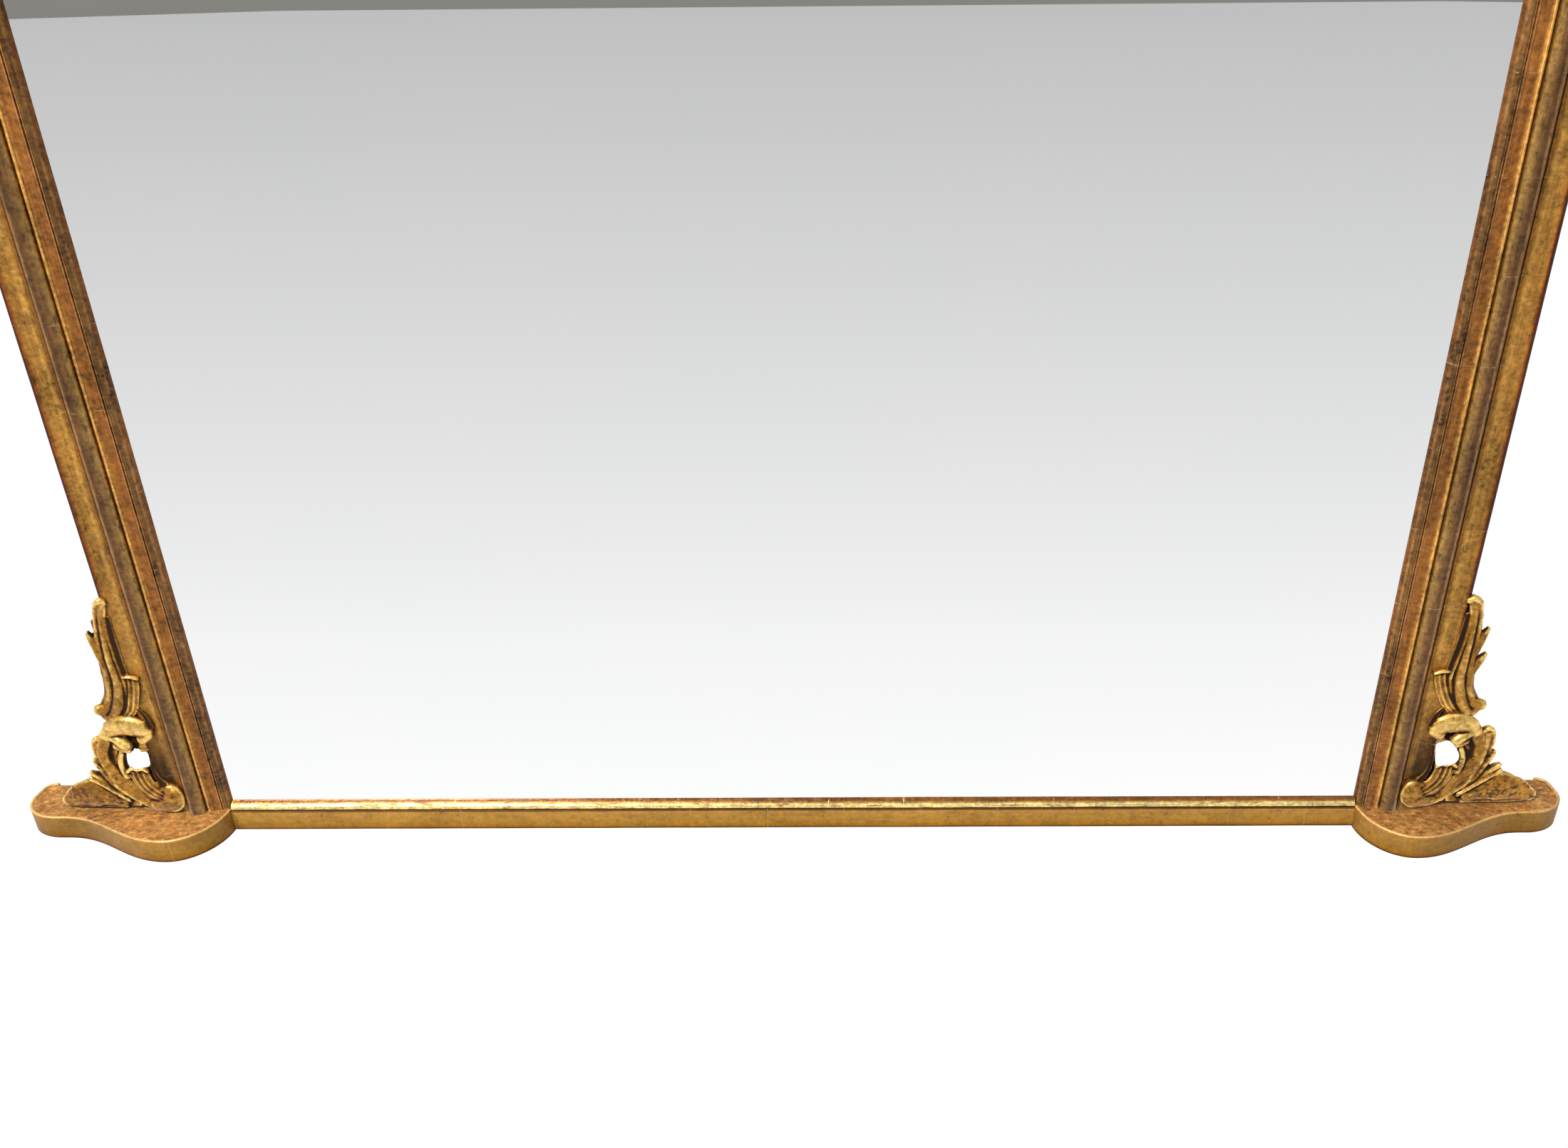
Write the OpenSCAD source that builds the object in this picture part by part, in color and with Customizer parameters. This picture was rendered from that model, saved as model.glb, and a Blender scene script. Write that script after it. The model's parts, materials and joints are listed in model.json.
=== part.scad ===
// Giltwood overmantel mirror: a moulded frame with rounded top corners, carved scroll
// brackets on serpentine feet, and a carved cresting.
// +X is to the right, +Y is towards the wall and +Z is up.
// The origin is on the ground, at the middle of the width and of the feet's depth.
// a = distance outwards from the edge of the visible glass, p = distance ahead of its face.

/* [Mirror plate] */
// Width of the visible glass
sight_w = 1200; // [1040:10:1440]
// Height of the visible glass
sight_h = 1430; // [1150:10:1720]
// Radius of the visible glass at its two top corners
corner_r = 220; // [150:5:300]
// Thickness of the mirror plate
plate_t = 5; // [3:0.5:6]
// Room between the edge of the plate and the inner moulding
plate_room = 2; // [1:0.5:4]

/* [Carcass] */
// Depth of the pine carcass behind the mouldings
carcass_t = 32; // [28:1:34]
// Distance from the wall to the face of the plate
plate_set = 42; // [40:1:46]
// Distance from the visible glass to the inside of the carcass
carcass_in = 12; // [11:0.5:14]
// Height of the bottom rail, from the ground to the visible glass
rail_h = 33; // [31:1:44]
// Thickness of the backboards
board_t = 8; // [6:0.5:10]
// Width of the rebate that the backboards lie in
board_lap = 14; // [11:0.5:16]
// Gap between one backboard and the next
board_gap = 1; // [0.5:0.25:2]
// Room around the edges of the backboards
board_room = 0.5; // [0.3:0.1:1.5]

/* [Mouldings] */
// Width of the rounded slip next to the glass
slip_w = 9; // [8:0.5:10.5]
// Height of the slip's crest over the glass
slip_rise = 7; // [6:0.5:8]
// Height of the slip at the glass
slip_lip = 1.2; // [0.8:0.1:2]
// Width of the sloping band outside the slip
bevel_w = 11; // [9:0.5:14]
// Height of the top of the sloping band over the glass
bevel_rise = 9; // [8:0.5:10]
// Radius of the thin bead outside the sloping band
bead_r = 1.6; // [1.2:0.1:2]
// Width of the narrow grooves beside the torus
quirk_w = 1; // [0.6:0.1:2]
// Height of the bottom of those grooves over the glass
quirk_rise = 7; // [6:0.5:7.5]
// Radius of the half-round torus
torus_r = 9; // [7:0.5:11]
// Height of the torus's centre over the glass
torus_lift = 7.5; // [7:0.5:9]
// Width of the fillet outside the torus
fillet_w = 2.6; // [2:0.1:4]
// Height of the fillet over the glass
fillet_rise = 9.5; // [8:0.5:10]
// Width of the hollow outer band
band_w = 22.2; // [18:0.2:30]
// Height of the outer band's crest over the glass
band_rise = 11; // [10.5:0.5:13]
// Radius of the frame's outer edge
edge_r = 4; // [2:0.5:5]

/* [Feet] */
// Depth of the feet, from the wall to the front of the bulge
foot_depth = 104; // [88:1:125]
// Thickness of the feet
foot_t = 26; // [22:1:28]
// Reach of each foot, from the visible glass to the foot's end
foot_reach = 226; // [190:1:270]
// Distance from the visible glass to the deepest point of the bulge
bulge_a = 48; // [40:1:56]
// Distance from the wall to the front of the foot's narrow part
neck_d = 63; // [55:1:70]
// Length of the rounded outer end
end_run = 46; // [35:1:55]
// Radius of the foot's back corner
heel_r = 12; // [6:1:20]
// Thickness of the gilt facing bent round the foot
facing_t = 3; // [2:0.5:4]
// How far the facing stands above the foot
facing_lip = 0.9; // [0.4:0.1:2]
// Distance from the face of the plate to the front of the bottom rail
fascia_rise = 8; // [7.5:0.5:12]

/* [Carvings] */
// Distance from the wall to the back of the carvings
carving_set = 18; // [12:1:20]
// Distance from the face of the plate to the front of the carvings
carving_rise = 18; // [15:0.5:24]
// Height of the palmette above the frame
palmette_h = 249; // [200:1:300]
// Half the width of the palmette
palmette_half = 108; // [95:1:130]
// How far the carvings beside the palmette reach in towards it
crest_tuck = 26; // [10:1:40]
// Size of the cresting's side carvings, compared with those of the brackets
crest_scale = 1.3; // [1:0.05:1.45]
// Radius of the boss on the palmette
boss_r = 26; // [18:1:32]
// Height of the boss
boss_rise = 12; // [8:1:16]

/* [Fasteners] */
// Radius of the carcass dowels
dowel_r = 4; // [3:0.5:5]
// Length of the carcass dowels in each piece
dowel_half = 16; // [12:1:18]
// Radius of the dowels that hold the carvings
peg_r = 3; // [2:0.5:3.5]
// Length of those dowels in each piece
peg_half = 14; // [10:1:16]
// Radius of the screws' shanks
screw_r = 1.75; // [1.5:0.25:2]
// Radius of the screws' heads
head_r = 3.5; // [3:0.25:4]
// Length of the screws that hold the brackets and feet
long_screw = 48; // [42:1:52]
// Length of the screws that hold the backboards
board_screw = 20; // [16:1:24]

/* [Wall plates] */
// Thickness of the brass wall plates
wall_plate_t = 2; // [1.5:0.5:3]
// Height of a wall plate
wall_plate_h = 38; // [30:1:50]
// Width of a wall plate on the carcass
wall_plate_w = 26; // [22:1:30]
// Radius of the wall plate's ear
ear_r = 11; // [8:0.5:14]
// Radius of the hole for the wall screw
ear_hole_r = 2.75; // [2:0.25:4]
// Height of the lower wall plates
wall_plate_low = 620; // [500:10:700]
// How far the upper wall plates are below the start of the round corners
wall_plate_drop = 63; // [30:1:120]
// Length of the screws that hold the wall plates
plate_screw = 16; // [12:1:20]

/* [Hidden] */

$fn = 96;
EPS = 0.01;
BOARDS = 5;

GILT = "#b98a3c";
BURNISHED = "#8a6a3a";
BRIGHT = "#d8b45c";
BOLE = "#a8743f";
PINE = "#c9a36b";
OLD_PINE = "#9a7348";
GLASS = "#c8ced2";
BRASS = "#b89a4a";
STEEL = "#6e6a66";

// Depths: y of the wall, the plate's face, the carcass's front and the fascia's front
wall_y = foot_depth / 2;
plate_y = wall_y - plate_set;
carcass_y = wall_y - carcass_t;
fascia_y = plate_y - fascia_rise;
back_p = carcass_y - plate_y;

// Where each moulding starts and ends, outwards from the visible glass
bead_a = slip_w + bevel_w + bead_r;
torus_a = bead_a + bead_r + quirk_w;
fillet_a = torus_a + 2 * torus_r + quirk_w;
frame_w = fillet_a + fillet_w + band_w;

// Heights
half_w = sight_w / 2;
sight_top = rail_h + sight_h;
spring_z = sight_top - corner_r;
corner_x = half_w - corner_r;
crest_z = sight_top + frame_w;
rail_top = rail_h - carcass_in;
fascia_h = rail_h - slip_w;

// Carvings
carving_back = wall_y - carving_set;
carving_front = plate_y - carving_rise;

// ---- Curves -------------------------------------------------------------

// Smooth closed curve through the points
function curve_point(p, q, r, s, t) =
    0.5 * ((2 * q) + (r - p) * t + (2 * p - 5 * q + 4 * r - s) * t * t
        + (3 * q - p - 3 * r + s) * t * t * t);

function smooth(points, steps = 5) =
    let (n = len(points))
    [for (i = [0 : n - 1], k = [0 : steps - 1])
        curve_point(points[(i + n - 1) % n], points[i], points[(i + 1) % n],
            points[(i + 2) % n], k / steps)];

// The same path moved to its left by a distance
function moved(path, distance) =
    [for (i = [0 : len(path) - 1])
        let (
            before = path[max(i - 1, 0)],
            after = path[min(i + 1, len(path) - 1)],
            run = after - before)
        path[i] + distance * [-run.y, run.x] / norm(run)];

// ---- Placing ------------------------------------------------------------

module left_side() {
    mirror([1, 0, 0]) children();
}

// A moulding's section set upright on the right-hand side, from one height to another
module upright(low, high) {
    translate([half_w, plate_y, low])
        linear_extrude(high - low)
            mirror([0, 1])
                children();
}

// A moulding's section bent round the right-hand top corner
module bent() {
    translate([corner_x, plate_y, spring_z])
        rotate([90, 0, 0])
            rotate_extrude(angle = 90)
                translate([corner_r, 0])
                    children();
}

// A moulding's section laid along the top, between the two corners
module along_top() {
    translate([-corner_x, plate_y, sight_top])
        rotate([180, -90, 0])
            linear_extrude(2 * corner_x)
                children();
}

// A moulding's section laid along the bottom, under the visible glass
module along_bottom() {
    translate([half_w, plate_y, rail_h])
        rotate([180, 90, 0])
            linear_extrude(sight_w)
                children();
}

// A flat outline in x and z, given its depth from front to back
module board(front, back) {
    translate([0, back, 0])
        rotate([90, 0, 0])
            linear_extrude(back - front)
                children();
}

// The outline of the glass, grown outwards by a distance
module sight_outline(grow) {
    translate([-half_w - grow, rail_h - grow])
        square([sight_w + 2 * grow, sight_h - corner_r + grow]);
    translate([-corner_x, rail_h])
        square([2 * corner_x, sight_h + grow]);
    for (side = [-1, 1])
        translate([side * corner_x, spring_z])
            circle(corner_r + grow);
}

// ---- Sections of the mouldings: a to the right, p upwards ---------------

module slip_section() {
    climb = slip_rise - slip_lip;
    round_r = (slip_w * slip_w + climb * climb) / (2 * climb);
    intersection() {
        square([slip_w, slip_rise]);
        translate([slip_w, slip_rise - round_r])
            circle(round_r);
    }
}

// Points on an arc about a centre, from one angle to another
ARC_STEPS = 8;

function arc(centre, radius, from, to) =
    [for (i = [0 : ARC_STEPS])
        let (turn = from + (to - from) * i / ARC_STEPS)
        centre + radius * [cos(turn), sin(turn)]];

module inner_section() {
    crest_w = 1.2;
    crest_rise = 0.6;
    polygon(concat(
        [[slip_w, -back_p],
         [slip_w, slip_rise + crest_rise],
         [slip_w + crest_w, slip_rise + crest_rise],
         [slip_w + crest_w, slip_rise - crest_rise]],
        arc([bead_a, bevel_rise], bead_r, 180, 0),
        [[bead_a + bead_r, quirk_rise],
         [torus_a, quirk_rise],
         [torus_a, -back_p]]));
}

module torus_section() {
    translate([torus_a, -back_p])
        square([2 * torus_r, back_p + torus_lift]);
    translate([torus_a + torus_r, torus_lift])
        circle(torus_r);
}

// Groove, fillet, hollow band and rounded outer edge
module outer_section() {
    start = torus_a + 2 * torus_r;
    band_a = fillet_a + fillet_w;
    hollow_half = band_w / 2 - edge_r;
    sag = 1.6;
    hollow_r = (hollow_half * hollow_half + sag * sag) / (2 * sag);
    spread = asin(hollow_half / hollow_r);
    hollow_centre = [band_a + hollow_half, band_rise - sag + hollow_r];
    polygon(concat(
        [[start, -back_p],
         [start, quirk_rise],
         [fillet_a, quirk_rise],
         [fillet_a, fillet_rise],
         [band_a, fillet_rise]],
        arc(hollow_centre, hollow_r, 270 - spread, 270 + spread),
        arc([frame_w - edge_r, band_rise - edge_r], edge_r, 90, 0),
        [[frame_w, -back_p]]));
}

// The carcass: its front is level with the backs of the mouldings
module carcass_section() {
    difference() {
        translate([carcass_in, -plate_set])
            square([frame_w - carcass_in, carcass_t]);
        translate([carcass_in - EPS, -plate_set - EPS])
            square([board_lap + EPS, board_t + EPS]);
    }
}

// ---- Fasteners ----------------------------------------------------------

// A round peg centred on the origin and lying along an axis: [0, 90, 0] is X, [90, 0, 0] is Y
module peg(radius, half, turn = [0, 0, 0]) {
    rotate(turn)
        cylinder(r = radius, h = 2 * half, center = true);
}

// A countersunk screw with its head at the origin, pointing up
module screw(length) {
    cylinder(r = screw_r, h = length);
    cylinder(r1 = head_r, r2 = screw_r, h = head_r - screw_r);
}

// Carcass joints on the right: bottom rail to stile, stile to corner, corner to top rail
dowel_y = carcass_y + carcass_t * 0.4;
dowel_as = [carcass_in + 10, frame_w - 10];
rail_peg_half = rail_top / 2 - 1;

module carcass_joints_right() {
    for (a = dowel_as) {
        translate([half_w + a, dowel_y, rail_top])
            peg(dowel_r, rail_peg_half);
        translate([half_w + a, dowel_y, spring_z])
            peg(dowel_r, dowel_half);
        translate([corner_x, dowel_y, sight_top + a])
            peg(dowel_r, dowel_half, [0, 90, 0]);
    }
}

// Pegs from the frame into the carvings: at the frond and, on the cresting, at the scroll
peg_y = carcass_y + 2 * peg_r + 1;
frond_peg_v = 152;
scroll_peg_v = 26;
palmette_peg_x = 36;

module bracket_pegs_right() {
    translate([half_w + frame_w, peg_y, foot_t + frond_peg_v])
        peg(peg_r, peg_half, [0, 90, 0]);
}

module crest_pegs_right() {
    for (v = [frond_peg_v, scroll_peg_v])
        translate([crest_x + crest_scale * v, peg_y, crest_z])
            peg(peg_r, peg_half);
    translate([palmette_peg_x, peg_y, crest_z])
        peg(peg_r, peg_half);
}

// Screws from under each foot into the scroll and the leaf
head_sink = 1;
bracket_screw_us = [9, 62];

module bracket_screws_right() {
    for (u = bracket_screw_us)
        translate([half_w + frame_w + u, peg_y - 8, head_sink])
            screw(long_screw);
}

module bracket_screw_heads_right() {
    for (u = bracket_screw_us)
        translate([half_w + frame_w + u, peg_y - 8, -EPS])
            cylinder(r = head_r, h = head_sink + 2 * EPS);
}

// Screws from the back of the bottom rail into each foot
foot_screw_as = [carcass_in + 20, frame_w - 20];
foot_screw_sink = 14;

module foot_screws_right() {
    for (a = foot_screw_as)
        translate([half_w + a, wall_y - foot_screw_sink, rail_top / 2])
            rotate([90, 0, 0])
                screw(long_screw);
}

module foot_screw_heads_right() {
    for (a = foot_screw_as)
        translate([half_w + a, wall_y + EPS, rail_top / 2])
            rotate([90, 0, 0])
                cylinder(r = head_r, h = foot_screw_sink + 2 * EPS);
}

// Backboards: one above the other, the top one with round corners
board_low = rail_h - carcass_in - board_lap + board_room;
board_high = sight_top + carcass_in + board_lap - board_room;
board_pitch = (board_high - board_low + board_gap) / BOARDS;
board_y = wall_y - board_t;
board_screw_a = carcass_in + board_lap / 2;
board_screw_in = 30;
side_screw_zs = [for (i = [0 : BOARDS - 1], end = [0, 1])
    let (
        low = board_low + i * board_pitch,
        z = end == 0 ? low + board_screw_in : low + board_pitch - board_gap - board_screw_in)
    if (z < spring_z && z > rail_h) z];
rail_screw_xs = [for (k = [-3 : 2 : 3]) k * corner_x / 3.5];

module backboard_screws() {
    color(STEEL) {
        for (side = [-1, 1], z = side_screw_zs)
            translate([side * (half_w + board_screw_a), wall_y, z])
                rotate([90, 0, 0])
                    screw(board_screw);
        for (x = rail_screw_xs, z = [rail_h - board_screw_a, sight_top + board_screw_a])
            translate([x, wall_y, z])
                rotate([90, 0, 0])
                    screw(board_screw);
    }
}

// Wall plates: two on each side, let into the back of the carcass
wall_plate_a = frame_w - wall_plate_w;
wall_plate_zs = [wall_plate_low, spring_z - wall_plate_drop];
ear_a = frame_w + ear_r;
wall_screw_spots = [[8, -10], [8, 10], [18, 0]];

module wall_plate_outline() {
    translate([wall_plate_a, -wall_plate_h / 2])
        square([wall_plate_w, wall_plate_h]);
    translate([frame_w - EPS, -ear_r])
        square([ear_r + EPS, 2 * ear_r]);
    translate([ear_a, 0])
        circle(ear_r);
}

module wall_screws_right() {
    for (z = wall_plate_zs, spot = wall_screw_spots)
        translate([half_w + wall_plate_a + spot.x, wall_y, z + spot.y])
            rotate([90, 0, 0])
                screw(plate_screw);
}

// ---- Outlines of the carvings: u outwards from the frame, v up from the foot --------

function frond_points(second_tooth) = concat(
    [[2, 118], [-8, 127], [-13, 142], [-16, 157], [-17, 168], [-9, 170], [-2, 169],
     [0, 181], [2, 199], [3, 214], [2, 229], [-3, 240], [-6, 248], [-3, 253], [5, 253],
     [10, 247], [13, 234], [16, 221], [25, 222], [24, 213], [21, 203], [19, 192]],
    second_tooth ? [[20, 185], [26, 184], [24, 177]] : [[19, 184], [19, 178]],
    [[19, 168], [19, 158], [21, 149], [26, 140], [35, 134], [42, 129], [44, 123],
     [42, 116], [36, 110], [33, 105], [20, 104], [8, 110]]);

scroll_points = [
    [-11, 94], [-10, 103], [-5, 111], [3, 118], [12, 120], [23, 115], [32, 107], [37, 98],
    [40, 84], [40, 69], [36, 49], [30, 29], [26, 12], [22, -3], [0, -4], [-14, -3],
    [-21, 3], [-24, 11], [-25, 20], [-22, 29], [-15, 35], [-7, 36], [-1, 32], [3, 38],
    [4, 47], [7, 54], [14, 56], [20, 57], [24, 63], [24, 71], [19, 79], [12, 84],
    [4, 85], [-2, 84], [-8, 87]
];

leaf_points = [
    [38, 97], [46, 96], [52, 93], [58, 87], [60, 80], [57, 74], [62, 67], [64, 58],
    [62, 52], [69, 50], [77, 47], [78, 41], [86, 38], [93, 33], [101, 29], [109, 23],
    [115, 16], [116, 9], [112, 3], [102, -3], [70, -4], [20, -4], [18, 20], [22, 50],
    [30, 80], [34, 96]
];

// The palmette: lobes round a centre above the frame, wider apart and longer at the top
PALM_LOBES = 9;
PALM_START = -18;
PALM_STEPS = 14;
palm_centre = 34;

function palm_radius(angle) =
    let (
        turn = (angle - PALM_START) / (180 - 2 * PALM_START),
        lobe = abs(sin(180 * PALM_LOBES * turn)),
        reach = palmette_h - palm_centre,
        rise = pow(max(sin(angle), 0), 1.5))
    (palmette_half + (reach - palmette_half) * rise) * (0.84 + 0.16 * pow(lobe, 0.6));

module palmette_outline() {
    count = PALM_LOBES * PALM_STEPS;
    sweep = 180 - 2 * PALM_START;
    foot_half = 62;
    foot_drop = 20;
    translate([0, crest_z])
        polygon(concat(
            [for (i = [0 : count])
                let (angle = PALM_START + sweep * i / count)
                palm_radius(angle) * [cos(angle), sin(angle)] + [0, palm_centre]],
            [[-foot_half, -foot_drop], [foot_half, -foot_drop]]));
}

// Bracket carvings stand on the foot
module on_bracket(points) {
    path = smooth(points);
    polygon([for (q = path) [half_w + frame_w + q.x, foot_t + q.y]]);
}

// Cresting carvings are the same, larger and laid on the frame, and droop with its shoulders;
// what overlaps the frame's front isn't enlarged
crest_x = palmette_half - crest_tuck;

function shoulder_drop(x) =
    let (
        outer_r = corner_r + frame_w,
        past = min(max(x - corner_x, 0), outer_r))
    outer_r - sqrt(outer_r * outer_r - past * past);

function crest_point(q) =
    let (
        x = crest_x + crest_scale * q.y,
        up = q.x > 0 ? crest_scale * q.x : q.x)
    [x, crest_z + up - shoulder_drop(x)];

module on_crest(points) {
    path = smooth(points);
    difference() {
        polygon([for (q = path) crest_point(q)]);
        palmette_outline();
    }
}

// What the carvings leave free: the frame behind them, and the foot under the bracket
module frame_room() {
    board(plate_y - band_rise, wall_y + 1)
        sight_outline(frame_w);
    translate([0, -foot_depth, -1])
        cube([foot_reach + half_w, 2 * foot_depth, foot_t + 1]);
}

module crest_room() {
    board(plate_y - band_rise, wall_y + 1)
        sight_outline(frame_w);
}

// ---- Carvings on the right; the frond is set back a little behind the scroll ---------

frond_back = 2;
leaf_back = 4;

module bracket_frond(second_tooth) {
    color(GILT)
        difference() {
            board(carving_front + frond_back, carving_back)
                difference() {
                    on_bracket(frond_points(second_tooth));
                    on_bracket(scroll_points);
                }
            frame_room();
            bracket_pegs_right();
        }
}

module bracket_scroll() {
    color(GILT)
        difference() {
            board(carving_front, carving_back)
                on_bracket(scroll_points);
            frame_room();
            bracket_screws_right();
        }
}

module bracket_leaf() {
    color(GILT)
        difference() {
            board(carving_front + leaf_back, carving_back)
                difference() {
                    on_bracket(leaf_points);
                    on_bracket(scroll_points);
                    on_bracket(frond_points(false));
                }
            frame_room();
            bracket_screws_right();
        }
}

module crest_frond() {
    color(GILT)
        difference() {
            board(carving_front + frond_back, carving_back)
                difference() {
                    on_crest(frond_points(true));
                    on_crest(scroll_points);
                }
            crest_room();
            crest_pegs_right();
        }
}

module crest_scroll() {
    color(GILT)
        difference() {
            board(carving_front, carving_back)
                on_crest(scroll_points);
            crest_room();
            crest_pegs_right();
        }
}

module crest_leaf() {
    color(GILT)
        difference() {
            board(carving_front + leaf_back, carving_back)
                difference() {
                    on_crest(leaf_points);
                    on_crest(scroll_points);
                    on_crest(frond_points(false));
                }
            crest_room();
        }
}

module crest_palmette() {
    color(GILT)
        difference() {
            board(carving_front, carving_back)
                palmette_outline();
            crest_room();
            crest_pegs_right();
            left_side() crest_pegs_right();
        }
}

module crest_boss() {
    dome_r = (boss_r * boss_r + boss_rise * boss_rise) / (2 * boss_rise);
    color(BRIGHT)
        translate([0, carving_front, crest_z + palm_centre])
            rotate([90, 0, 0])
                intersection() {
                    translate([0, 0, boss_rise - dome_r])
                        sphere(dome_r);
                    cylinder(r = 2 * boss_r, h = dome_r);
                }
}

// ---- Feet and bottom rail -----------------------------------------------

// The front edge of the right-hand foot, from the fascia round to the back corner
FOOT_STEPS = 16;

function foot_front() =
    let (
        bulge = fascia_y + wall_y,
        neck_y = wall_y - neck_d,
        neck_a = foot_reach - end_run - 8,
        end_a = foot_reach - end_run,
        end_y = wall_y - heel_r - 12)
    concat(
        [for (i = [0 : FOOT_STEPS - 1])
            let (t = 90 * i / FOOT_STEPS)
            [bulge_a * (1 - cos(t)), fascia_y - bulge * sin(t)]],
        [for (i = [0 : FOOT_STEPS])
            let (t = i / FOOT_STEPS)
            [bulge_a + (neck_a - bulge_a) * t,
             -wall_y + (neck_y + wall_y) * (1 - cos(180 * t)) / 2]],
        [for (i = [0 : FOOT_STEPS])
            let (t = 90 * i / FOOT_STEPS)
            [end_a + end_run * sin(t), end_y + (neck_y - end_y) * cos(t)]],
        [for (i = [0 : FOOT_STEPS / 2])
            let (t = 180 * i / FOOT_STEPS)
            [foot_reach - heel_r + heel_r * cos(t), wall_y - heel_r + heel_r * sin(t)]]);

// The foot's block fills the inside of the facing and wraps round the carcass's corner
module foot_block() {
    inside = moved(foot_front(), facing_t);
    color(BOLE)
        difference() {
            translate([half_w, 0, 0])
                linear_extrude(foot_t)
                    intersection() {
                        polygon(concat(inside, [[frame_w, wall_y], [frame_w, carcass_y],
                            [0, carcass_y], [0, fascia_y + facing_t]]));
                        translate([0, -foot_depth])
                            square([foot_reach, foot_depth + wall_y]);
                    }
            bracket_screws_right();
            bracket_screw_heads_right();
            foot_screws_right();
        }
}

module foot_facing() {
    outside = foot_front();
    inside = moved(outside, facing_t);
    color(GILT)
        translate([half_w, 0, 0])
            linear_extrude(foot_t + facing_lip)
                intersection() {
                    polygon(concat(outside, [for (i = [len(inside) - 1 : -1 : 0]) inside[i]]));
                    translate([0, -foot_depth])
                        square([foot_reach, foot_depth + wall_y]);
                }
}

module bottom_rail_fascia() {
    color(GILT)
        translate([-half_w, fascia_y, 0])
            cube([sight_w, carcass_y - fascia_y, fascia_h]);
}

// ---- Carcass ------------------------------------------------------------

module wall_plate_rooms() {
    for (z = wall_plate_zs)
        translate([half_w + wall_plate_a, wall_y - wall_plate_t, z - wall_plate_h / 2])
            cube([wall_plate_w + EPS, wall_plate_t + EPS, wall_plate_h]);
}

module carcass_stile() {
    color(PINE)
        difference() {
            upright(rail_top, spring_z)
                carcass_section();
            wall_plate_rooms();
            wall_screws_right();
            carcass_joints_right();
            bracket_pegs_right();
            backboard_screws();
        }
}

module carcass_corner() {
    color(PINE)
        difference() {
            bent()
                carcass_section();
            carcass_joints_right();
        }
}

module carcass_top_rail() {
    color(PINE)
        difference() {
            along_top()
                carcass_section();
            carcass_joints_right();
            left_side() carcass_joints_right();
            crest_pegs_right();
            left_side() crest_pegs_right();
            backboard_screws();
        }
}

module carcass_bottom_rail() {
    rail_half = half_w + frame_w;
    lap_half = half_w + carcass_in + board_lap;
    color(PINE)
        difference() {
            translate([-rail_half, carcass_y, 0])
                cube([2 * rail_half, carcass_t, rail_top]);
            translate([-lap_half, wall_y - board_t, rail_top - board_lap])
                cube([2 * lap_half, board_t + EPS, board_lap + EPS]);
            carcass_joints_right();
            left_side() carcass_joints_right();
            foot_screws_right();
            left_side() foot_screws_right();
            foot_screw_heads_right();
            left_side() foot_screw_heads_right();
            backboard_screws();
        }
}

// ---- Mirror plate and back ----------------------------------------------

module mirror_plate() {
    color(GLASS)
        board(plate_y, plate_y + plate_t)
            sight_outline(slip_w - plate_room);
}

module backboard(index) {
    low = board_low + index * board_pitch;
    color(OLD_PINE)
        difference() {
            board(board_y, wall_y)
                intersection() {
                    sight_outline(carcass_in + board_lap - board_room);
                    translate([-sight_w, low])
                        square([2 * sight_w, board_pitch - board_gap]);
                }
            backboard_screws();
        }
}

// A block glued in the corner between the plate's back and the carcass: a to the right
module plate_block() {
    block_l = 45;
    block_reach = 6;
    block_t = 18;
    translate([0, plate_y + plate_t, -block_l / 2])
        linear_extrude(block_l)
            polygon([
                [-block_reach, 0],
                [slip_w, 0],
                [slip_w, back_p - plate_t],
                [carcass_in, back_p - plate_t],
                [carcass_in, block_t],
                [-block_reach, block_t]
            ]);
}

// Blocks round the plate, and packers under its bottom edge
module plate_blocks() {
    packer_l = 60;
    side_count = 5;
    run = spring_z - rail_h;
    color(OLD_PINE) {
        for (side = [0, 1], i = [0 : side_count - 1])
            mirror([side, 0, 0])
                translate([half_w, 0, rail_h + run * (i + 0.5) / side_count])
                    plate_block();
        for (k = [-1.5 : 1 : 1.5]) {
            translate([k * corner_x / 2, 0, sight_top])
                rotate([0, -90, 0])
                    plate_block();
            translate([k * corner_x / 2, 0, rail_h])
                rotate([0, 90, 0])
                    plate_block();
        }
        for (k = [-1, 1])
            translate([k * half_w / 2 - packer_l / 2, plate_y, fascia_h])
                cube([packer_l, plate_t, plate_room]);
    }
}

// ---- Groups of fasteners ------------------------------------------------

module carcass_dowels() {
    color(OLD_PINE) {
        carcass_joints_right();
        left_side() carcass_joints_right();
    }
}

module carving_dowels() {
    color(OLD_PINE) {
        bracket_pegs_right();
        left_side() bracket_pegs_right();
        crest_pegs_right();
        left_side() crest_pegs_right();
    }
}

module bracket_screws() {
    color(STEEL) {
        bracket_screws_right();
        left_side() bracket_screws_right();
    }
}

module foot_screws() {
    color(STEEL) {
        foot_screws_right();
        left_side() foot_screws_right();
    }
}

module wall_plate_right(z) {
    difference() {
        translate([half_w, 0, z])
            board(wall_y - wall_plate_t, wall_y)
                difference() {
                    wall_plate_outline();
                    translate([ear_a, 0])
                        circle(ear_hole_r);
                }
        wall_screws_right();
    }
}

module wall_plates() {
    color(BRASS)
        for (side = [0, 1], z = wall_plate_zs)
            mirror([side, 0, 0])
                wall_plate_right(z);
}

module wall_plate_screws() {
    color(BRASS) {
        wall_screws_right();
        left_side() wall_screws_right();
    }
}

// ---- Nodes --------------------------------------------------------------

module gilt_upright(tint) {
    color(tint)
        upright(foot_t, spring_z)
            children();
}

mirror_plate();
left_side() carcass_stile();  // carcass_stile_left
carcass_stile();  // carcass_stile_right
left_side() carcass_corner();  // carcass_corner_left
carcass_corner();  // carcass_corner_right
carcass_top_rail();
carcass_bottom_rail();

left_side() gilt_upright(BURNISHED) slip_section();  // slip_left
gilt_upright(BURNISHED) slip_section();  // slip_right
color(BURNISHED) left_side() bent() slip_section();  // slip_corner_left
color(BURNISHED) bent() slip_section();  // slip_corner_right
color(BURNISHED) along_top() slip_section();  // slip_top
color(BRIGHT) along_bottom() slip_section();  // slip_bottom

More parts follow.
